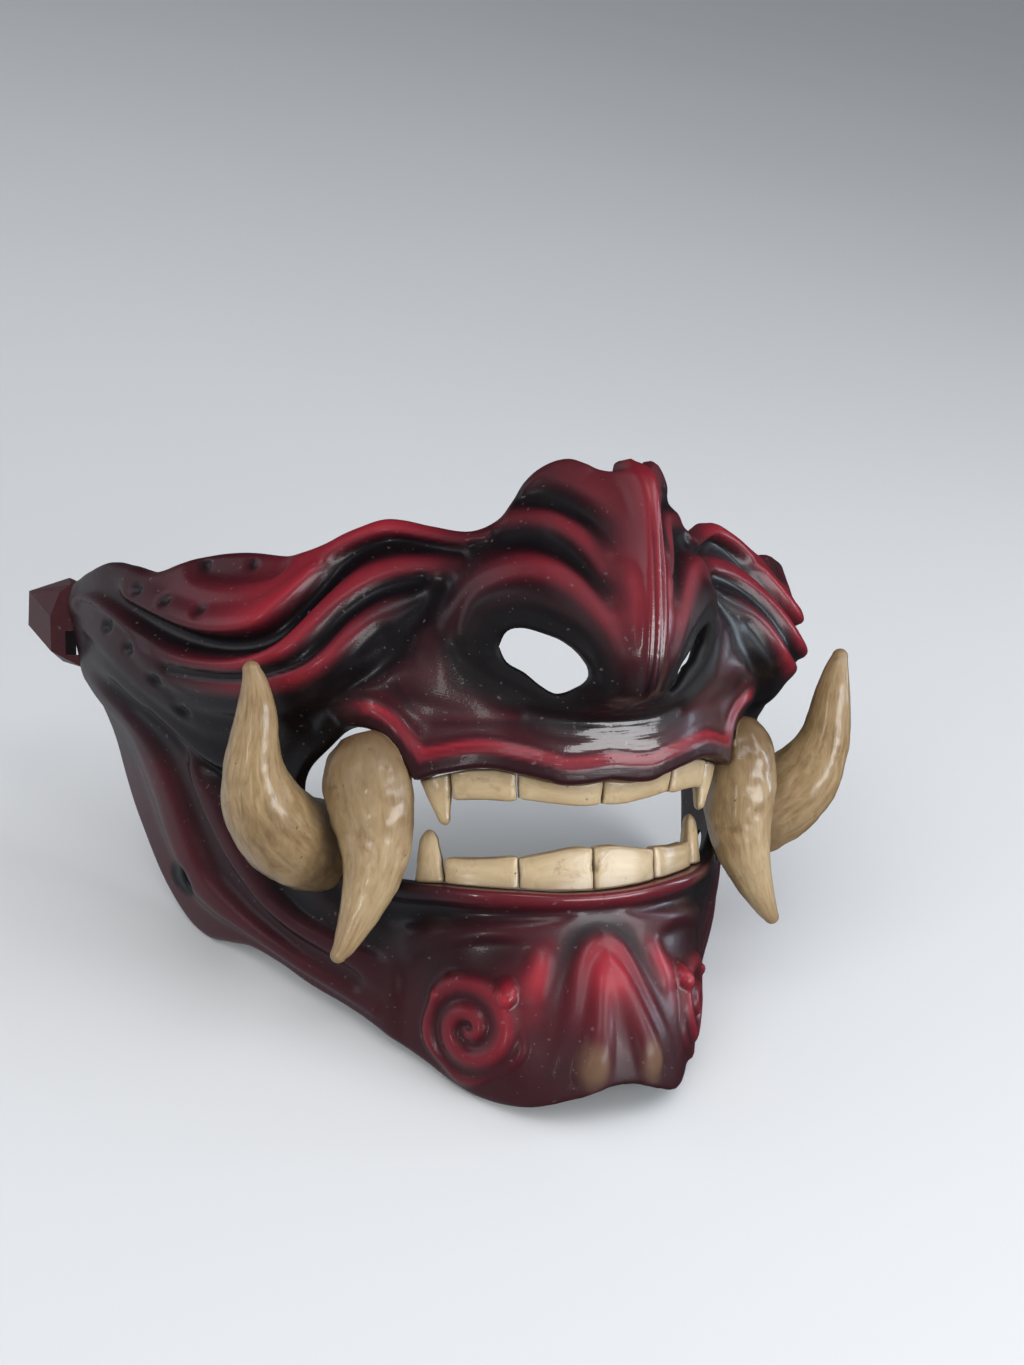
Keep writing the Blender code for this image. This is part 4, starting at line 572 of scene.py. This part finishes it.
def fine_tooth(key, side, seed):
    row = TEETH[key]; a, b, za, zb, tip, taper, ro, dep, power = row
    upper = ro > 53; fang = taper > .5; n = 52
    sec = ring_points(n, 5.5 if not fang else 2.4); mid = (a+b)/2; half = (b-a)/2+(.29 if not fang else .3)
    rows = list(np.linspace(0, .88, 16))+[.91, .935, .955, .97, .982, .991, .997, 1]
    low = fang and not upper; R = []; S = []
    for s in rows:
        t = s**1.25
        if fang:
            lean = (tip-mid+(-.9 if upper else .3))*s**(1.1 if upper else 1.6); c = mid+lean
            end = max(0, (s-(.80 if low else .90))/(.20 if low else .10)); q = np.sqrt(max(0, 1-end**2))
            w = half*(1-(.50 if low else .74)*t)*max(.05, q); dd = dep/2*(1-(.42 if low else .62)*t)*max(.06, q)
        else:
            c = mid+(tip-mid)*t; end = max(0, (s-.90)/.10); q = np.sqrt(max(0, 1-end**2.6))
            w = half*(.982+.018*q); dd = dep/2*(1-.20*t)*(.66+.34*q)
        th = c+w*sec[:, 0]; r = ro-dep/2+dd*sec[:, 1]-(.8*t if upper else -.2*t)
        root = edge_z(upper, mid+half*sec[:, 0])+(-TOOTH_GAP if upper else TOOTH_GAP)
        e = za+(zb-za)*(mid+half*sec[:, 0]-a)/(b-a)
        if not fang:
            e = e+(-1 if upper else 1)*.30*np.sin((sec[:, 0]*1.3+seed)*2.2)+(1 if upper else -1)*.45*np.abs(sec[:, 0])**9*(s > .5)
        zz = root+(e-root)*s
        R.append(xyz(side*th, zz, r)); S.append(np.stack([np.cos(np.arange(n)*2*np.pi/n), np.sin(np.arange(n)*2*np.pi/n), np.full(n, s)], -1))
    V, F = skin(R); G = np.vstack(S+[S[0].mean(0, keepdims=True), S[-1].mean(0, keepdims=True)])
    N = V-V.mean(0); N[:, 2] = 0; N = N/(np.linalg.norm(N, axis=1)[:, None]+1e-9)
    V = V+N*(.11*wave(V, 3.0, seed)+.05*wave(V, 1.2, seed+3)-.05)[:, None]
    V = clear_of_shell(V, TOOTH_GAP)
    edge = np.append(np.tile(smooth(np.abs(sec[:, 0]), .90, 1)*.92, len(rows)), [0, 0])
    G[:, :2] *= .5; G[:, 2] *= .55; G[:, 0] += seed*1.7
    return piece(key+"_skin_"+("left" if side > 0 else "right"), V, F, {"grain": G, "root": np.maximum(.82*(1-G[:, 2]/.55), edge)})

# the up tusk's skin: fuller, and its root runs on behind the down tusk
UP_SKIN = ((52.6, 20.6, 24.6, 7.4, 10.6), (56.6, 18.0, 25.2, 8.4, 11.0), (61.6, 14.6, 26.8, 9.3, 11.0), (67.2, 10.0, 30.4, 9.7, 10.4), (72.0, 6.2, 36.2, 8.9, 9.2),
           (74.8, 3.0, 43.2, 7.0, 7.0), (75.4, .4, 50.0, 5.6, 5.6), (75.3, -1.5, 56.6, 4.5, 4.5), (75.9, -2.8, 62.6, 3.1, 3.1), (76.7, -3.2, 66.0, 2.0, 2.0))
DOWN_SKIN = DOWN_TUSK[:-2]+((55.2, -.3, 4.6, 2.9, 2.9), (57.0, 0, 1.9, 1.9, 1.9))
def fine_tusk(key, rows, side, turn, seed):
    R = tusk(rows, side, 84, .55, turn); m = len(R); n = 84
    L = np.r_[0, np.cumsum([np.linalg.norm(R[i+1].mean(0)-R[i].mean(0)) for i in range(m-1)])]
    C = np.array([r.mean(0) for r in R]); rad = np.array([np.linalg.norm(r-r.mean(0), axis=1).mean() for r in R])
    # a round end in place of the last flat ring
    end = R[-1]; c = end.mean(0); T = C[-1]-C[-2]; T = T/np.linalg.norm(T)
    for k in range(1, 6):
        f = k/5.4*np.pi/2; R.append(c+(end-c)*np.cos(f)+T*rad[-1]*np.sin(f)); L = np.append(L, L[-1]+.3)
    G = np.vstack([np.stack([np.cos(np.arange(n)*2*np.pi/n), np.sin(np.arange(n)*2*np.pi/n), np.full(n, s/30)], -1) for s in L])
    V, F = skin(R); G = np.vstack([G, G[:1], G[-1:]]); G[:, 0] += seed*2.3
    rel = np.append(np.repeat(L/L[-1], n), [0, 1])
    Cc = np.vstack([np.repeat(np.vstack([C, np.repeat(C[-1:], 5, 0)]), n, 0), C[:1], C[-1:]]); N = V-Cc; N = N/(np.linalg.norm(N, axis=1)[:, None]+1e-9)
    # carved look: flats that run along the tusk, shallow dents and fine grain
    a0 = np.arctan2(G[:, 1], G[:, 0]-seed*2.3); turn_n = 9; bend = a0*turn_n/2/np.pi+.35*wave(np.stack([G[:, 2]*1.6, 0*a0, 0*a0], -1), 1, seed+7)
    flats = np.cos(2*np.pi*bend)*(.5+.5*wave(V, 9, seed+4))
    fade = np.clip(1.35-rel*1.25, .12, 1)
    V = V+N*((.26*wave(V, 6, seed)+.13*wave(V, 2.4, seed+2)-.20*flats)*fade)[:, None]
    V = clear_of_shell(V, TOOTH_GAP)
    return piece(key+"_skin_"+("left" if side > 0 else "right"), V, F, {"grain": G, "root": 1-rel})

# ---------------------------------------------------------------- materials
def nodes_of(name):
    m = bpy.data.materials.new(name); m.use_nodes = True; t = m.node_tree
    return m, t, t.nodes["Principled BSDF"]

def ramp(t, stops, fac, interp="LINEAR"):
    r = t.nodes.new("ShaderNodeValToRGB"); r.color_ramp.interpolation = interp; e = r.color_ramp.elements
    while len(e) < len(stops): e.new(.5)
    for k, (p, c) in enumerate(stops): e[k].position = p; e[k].color = (*c, 1) if len(c) == 3 else c
    t.links.new(fac, r.inputs["Fac"]); return r.outputs["Color"]

def attr(t, name):
    a = t.nodes.new("ShaderNodeAttribute"); a.attribute_type = "GEOMETRY"; a.attribute_name = name; return a

def math(t, op, a, b=None, c=None, clamp=False):
    n = t.nodes.new("ShaderNodeMath"); n.operation = op; n.use_clamp = clamp
    for i, v in enumerate((a, b, c)):
        if v is None: continue
        if isinstance(v, (int, float)): n.inputs[i].default_value = v
        else: t.links.new(v, n.inputs[i])
    return n.outputs[0]

def noise_tex(t, vec, scale, detail=3.0, rough=.5, dist=0.0):
    n = t.nodes.new("ShaderNodeTexNoise"); n.inputs["Scale"].default_value = scale; n.inputs["Detail"].default_value = detail
    n.inputs["Roughness"].default_value = rough; n.inputs["Distortion"].default_value = dist
    t.links.new(vec, n.inputs["Vector"]); return n.outputs["Fac"]

def mix(t, fac, a, b, kind="MIX"):
    n = t.nodes.new("ShaderNodeMix"); n.data_type = "RGBA"; n.blend_type = kind
    for s, v in ((n.inputs["Factor"], fac), (n.inputs["A"], a), (n.inputs["B"], b)):
        if isinstance(v, (int, float)): s.default_value = v
        elif isinstance(v, tuple): s.default_value = (*v, 1)
        else: t.links.new(v, s)
    return n.outputs["Result"]

def place(t):
    return t.nodes.new("ShaderNodeTexCoord").outputs["Object"]

def bump(t, height, strength, dist, normal=None):
    b = t.nodes.new("ShaderNodeBump"); b.inputs["Strength"].default_value = strength; b.inputs["Distance"].default_value = dist
    t.links.new(height, b.inputs["Height"])
    if normal: t.links.new(normal, b.inputs["Normal"])
    return b.outputs["Normal"]

LACQUER = ((0, (.0028, .0020, .0030)), (.12, (.0060, .0027, .0040)), (.3, (.023, .0042, .0068)), (.48, (.052, .0056, .0098)), (.68, (.105, .0074, .0140)), (.85, (.180, .0098, .0185)), (1, (.27, .0125, .0235)))
def lacquer(plain=None):
    m, t, b = nodes_of("lacquer_skin" if plain is None else "lacquer_plain"); P = place(t)
    if plain is None: paint, gold = attr(t, "paint").outputs["Fac"], attr(t, "gold").outputs["Fac"]
    else: paint, gold = math(t, "ADD", plain, 0), math(t, "ADD", 0, 0)
    n1 = noise_tex(t, P, 90, 4, .55); n2 = noise_tex(t, P, 420, 3, .6)
    p = math(t, "ADD", paint, math(t, "MULTIPLY", math(t, "SUBTRACT", n1, .5), .10))
    p = math(t, "ADD", p, math(t, "MULTIPLY", math(t, "SUBTRACT", n2, .5), .05), clamp=True)
    col = ramp(t, LACQUER, p)
    g = math(t, "MULTIPLY", gold, math(t, "ADD", .35, math(t, "MULTIPLY", n1, .9)), clamp=True)
    col = mix(t, math(t, "MULTIPLY", g, .55, clamp=True), col, (.20, .125, .060))
    dust = ramp(t, ((0, (0, 0, 0)), (.735, (0, 0, 0)), (.76, (1, 1, 1)), (1, (1, 1, 1))), noise_tex(t, P, 900, 1, .3))
    col = mix(t, math(t, "MULTIPLY", dust, .30), col, (.16, .13, .13))
    t.links.new(col, b.inputs["Base Color"])
    r = math(t, "ADD", .29, math(t, "MULTIPLY", n2, .12)); r = math(t, "ADD", r, math(t, "MULTIPLY", g, .12))
    if plain is None: r = math(t, "ADD", r, math(t, "MULTIPLY", attr(t, "matte").outputs["Fac"], .24))
    t.links.new(r, b.inputs["Roughness"])
    b.inputs["Coat Weight"].default_value = .12; b.inputs["Coat Roughness"].default_value = .05; b.inputs["Specular IOR Level"].default_value = .42
    if plain is None:
        dull = attr(t, "matte").outputs["Fac"]; coat = math(t, "ADD", .12, math(t, "MULTIPLY", attr(t, "polish").outputs["Fac"], .78))
        t.links.new(math(t, "SUBTRACT", coat, math(t, "MULTIPLY", dull, .12), clamp=True), b.inputs["Coat Weight"])
    fine = noise_tex(t, P, 1500, 2, .5); w = t.nodes.new("ShaderNodeTexWave"); w.wave_type = "BANDS"; w.bands_direction = "Z"; w.inputs["Scale"].default_value = 520; w.inputs["Distortion"].default_value = .4
    t.links.new(P, w.inputs["Vector"])
    rings = w.outputs["Fac"] if plain is not None else math(t, "MULTIPLY", w.outputs["Fac"], math(t, "ADD", .3, math(t, "MULTIPLY", attr(t, "polish").outputs["Fac"], .35)))
    h = math(t, "ADD", math(t, "MULTIPLY", fine, .5), math(t, "MULTIPLY", rings, .22)); h = math(t, "ADD", h, math(t, "MULTIPLY", n1, .6))
    nrm = bump(t, h, .10, .0004); t.links.new(nrm, b.inputs["Normal"]); t.links.new(nrm, b.inputs["Coat Normal"])
    return m

IVORY = ((0, (.055, .028, .010)), (.24, (.15, .090, .039)), (.44, (.30, .205, .104)), (.66, (.42, .315, .180)), (1, (.54, .44, .28)))
def ivory(name, gain):
    m, t, b = nodes_of(name); P = place(t)
    g = attr(t, "grain").outputs["Vector"]; root = attr(t, "root").outputs["Fac"]
    streak = noise_tex(t, g, 5.5, 5, .62, .6); patch = noise_tex(t, P, 34, 3, .5); spot = noise_tex(t, P, 300, 3, .6)
    f = math(t, "ADD", math(t, "MULTIPLY", streak, .62), math(t, "MULTIPLY", patch, .60)); f = math(t, "SUBTRACT", f, .20-gain)
    f = math(t, "ADD", f, math(t, "MULTIPLY", math(t, "SUBTRACT", spot, .5), .12), clamp=True)
    col = ramp(t, IVORY, f)
    dark = ramp(t, ((0, (1, 1, 1)), (.30, (1, 1, 1)), (.385, (0, 0, 0)), (1, (0, 0, 0))), noise_tex(t, P, 150, 4, .65, .5))
    col = mix(t, math(t, "MULTIPLY", dark, .55), col, (.13, .072, .03))
    base = math(t, "MULTIPLY", math(t, "POWER", root, 3.2), .9, clamp=True)
    col = mix(t, base, col, (.085, .046, .02))
    ends = math(t, "MULTIPLY", math(t, "POWER", math(t, "SUBTRACT", 1, root, clamp=True), 7.0), .55, clamp=True)
    col = mix(t, ends, col, (.15, .09, .042))
    pit = ramp(t, ((0, (1, 1, 1)), (.235, (1, 1, 1)), (.27, (0, 0, 0)), (1, (0, 0, 0))), noise_tex(t, P, 520, 2, .5))
    col = mix(t, math(t, "MULTIPLY", pit, .8), col, (.07, .035, .015))
    t.links.new(col, b.inputs["Base Color"])
    r = math(t, "ADD", .22, math(t, "MULTIPLY", patch, .20)); t.links.new(r, b.inputs["Roughness"])
    b.inputs["Coat Weight"].default_value = .4; b.inputs["Coat Roughness"].default_value = .14
    b.inputs["Subsurface Weight"].default_value = .08; b.inputs["Subsurface Radius"].default_value = (.002, .001, .0005); b.inputs["Subsurface Scale"].default_value = 1.0
    h = math(t, "ADD", math(t, "MULTIPLY", streak, .6), math(t, "MULTIPLY", spot, .35)); h = math(t, "SUBTRACT", h, math(t, "MULTIPLY", pit, .5))
    t.links.new(bump(t, h, .35, .0005), b.inputs["Normal"])
    return m

def floor_mat():
    m, t, b = nodes_of("studio_floor"); P = place(t)
    c = mix(t, noise_tex(t, P, 3, 2, .5), (.63, .642, .65), (.66, .672, .68)); t.links.new(c, b.inputs["Base Color"])
    b.inputs["Roughness"].default_value = .9; b.inputs["Specular IOR Level"].default_value = .15
    return m

# ---------------------------------------------------------------- assembly
RED = lacquer(); PLAIN_RED = lacquer(.42); BONE = ivory("ivory_tusk", .06); TOOTH = ivory("ivory_tooth", .29)
def other_side(o, name):
    """the same piece on the other side of the face"""
    me = o.data.copy(); me.name = name; me.transform(Matrix.Scale(-1, 4, (1, 0, 0))); me.flip_normals()
    q = bpy.data.objects.new(name, me); bpy.context.collection.objects.link(q); return q

def finish_piece(o, mat, node):
    o.data.materials.clear(); o.data.materials.append(mat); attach(o, "root"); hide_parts(node)

shell = fine_shell(); finish_piece(shell, RED, "mask_shell")
small = [(name, fine_tooth(name, -1, k+1)) for k, name in enumerate(TEETH)]
small += [(name, fine_tusk(name, rows, -1, turn, k+1)) for k, (name, rows, turn) in enumerate((("down_tusk", DOWN_SKIN, SECTION_TURN), ("up_tusk", UP_SKIN, 0.0)))]
for name, o in small:
    q = other_side(o, name+"_skin_left")
    bone = BONE if "tusk" in name else TOOTH; finish_piece(o, bone, name+"_right"); finish_piece(q, bone, name+"_left")
for side, tag in ((-1, "right"), (1, "left")):
    lug = frame["nodes"]["strap_lug_"+tag]
    b = lug.modifiers.new("soft_edges", "BEVEL"); b.width = .0006; b.segments = 3; b.limit_method = "ANGLE"; b.angle_limit = np.radians(25); b.harden_normals = True
    lug.data.materials.clear(); lug.data.materials.append(PLAIN_RED)

# ---------------------------------------------------------------- floor, camera, light
me = bpy.data.meshes.new("studio_floor"); me.from_pydata([(-6, -6, 0), (6, -6, 0), (6, 6, 0), (-6, 6, 0)], [], [(0, 1, 2, 3)])
fl = bpy.data.objects.new("studio_floor", me); bpy.context.collection.objects.link(fl); me.materials.append(floor_mat()); fl.visible_glossy = False

# camera: place and turn in the mask's frame, then tipped with the mask
EYE_AZ, EYE_EL, EYE_ROLL, EYE_D, EYE_X, EYE_Z, FOCAL = -25.1605, .7978, -1.1841, 460.04, 12.835, -61.320, 1950/1365*36
def camera():
    a, e, r = np.radians([EYE_AZ, EYE_EL, EYE_ROLL])
    back = np.array([np.sin(a)*np.cos(e), -np.cos(a)*np.cos(e), np.sin(e)]); right = np.array([np.cos(a), np.sin(a), 0]); up = np.cross(back, right)
    c, s = np.cos(r), np.sin(r); R = np.array([[c, s, 0], [-s, c, 0], [0, 0, 1]]) @ np.stack([right, up, back])
    eye = R.T @ np.array([-EYE_X, -EYE_Z, EYE_D])
    p = world(eye[None])[0]; cp, sp = np.cos(np.radians(PITCH)), np.sin(np.radians(PITCH))
    T = np.array([[1, 0, 0], [0, cp, sp], [0, -sp, cp]]); M = T @ R.T
    cam = bpy.data.cameras.new("camera"); cam.lens = FOCAL; cam.sensor_width = 36; cam.sensor_fit = "AUTO"; cam.clip_start = .01; cam.clip_end = 50
    o = bpy.data.objects.new("camera", cam); bpy.context.collection.objects.link(o)
    o.matrix_world = Matrix([[*M[0], p[0]], [*M[1], p[1]], [*M[2], p[2]], [0, 0, 0, 1]])
    bpy.context.scene.camera = o; return o, M, p
CAM, VIEW, EYE = camera()

def area(name, az, el, dist, size, power, colour=(1, 1, 1), at=(0, -.02, .07)):
    """a soft rectangular light seen from the mask at az degrees right of its front and el above the floor"""
    l = bpy.data.lights.new(name, "AREA"); l.energy = power; l.color = colour; l.shape = "RECTANGLE"; l.size, l.size_y = size
    o = bpy.data.objects.new(name, l); bpy.context.collection.objects.link(o); o.visible_camera = False
    z, e = np.radians(az), np.radians(el); t = Vector(at); o.location = t+dist*Vector((np.sin(z)*np.cos(e), -np.cos(z)*np.cos(e), np.sin(e)))
    o.rotation_mode = "QUATERNION"; o.rotation_quaternion = (t-o.location).to_track_quat("-Z", "Y"); return o
area("window", 30, 12, .7, (.62, .21), 2.9, (.97, .985, 1))
area("strip_right", 82, 12, .8, (.12, .40), 1.1, (.75, .86, 1))
area("strip_left", -43, 6, .72, (.06, .16), .35, (1, .99, .97))
area("room", -52, 42, 2.2, (1.6, 1.6), 25, (1, .985, .965)).visible_glossy = False
area("above", 5, 74, 2.4, (1.9, 1.9), 10, (.97, .98, 1)).visible_glossy = False
area("skylight", 58, 45, 1.3, (.95, .42), 4.2, (.97, .96, 1))
area("skylight_left", -10, 62, 1.3, (.48, .36), 1.8, (.97, .96, 1))
area("sheen", -100, 14, .9, (.6, .4), .62, (.96, .92, 1))
# the room: dim for gloss in front of the mask, paler behind and to the left of it, where the photograph's wall is
w = bpy.data.worlds.new("studio"); bpy.context.scene.world = w; w.use_nodes = True
wt = w.node_tree; bg = wt.nodes["Background"]; bg.inputs["Color"].default_value = (.86, .90, .96, 1)
way = wt.nodes.new("ShaderNodeVectorMath"); way.operation = "DOT_PRODUCT"; way.inputs[1].default_value = (-.66, .50, -.56)
wt.links.new(wt.nodes.new("ShaderNodeTexCoord").outputs["Generated"], way.inputs[0])
wall = math(wt, "MULTIPLY", math(wt, "MULTIPLY_ADD", way.outputs["Value"], 1.6, -.45, clamp=True), .42)
lp = wt.nodes.new("ShaderNodeLightPath"); g = lp.outputs["Is Glossy Ray"]
wt.links.new(math(wt, "ADD", math(wt, "MULTIPLY", math(wt, "SUBTRACT", 1, g), .40), math(wt, "MULTIPLY", g, math(wt, "ADD", wall, .035))), bg.inputs["Strength"])
bpy.context.scene.view_settings.view_transform = "Standard"

a, b = CAD_BOX
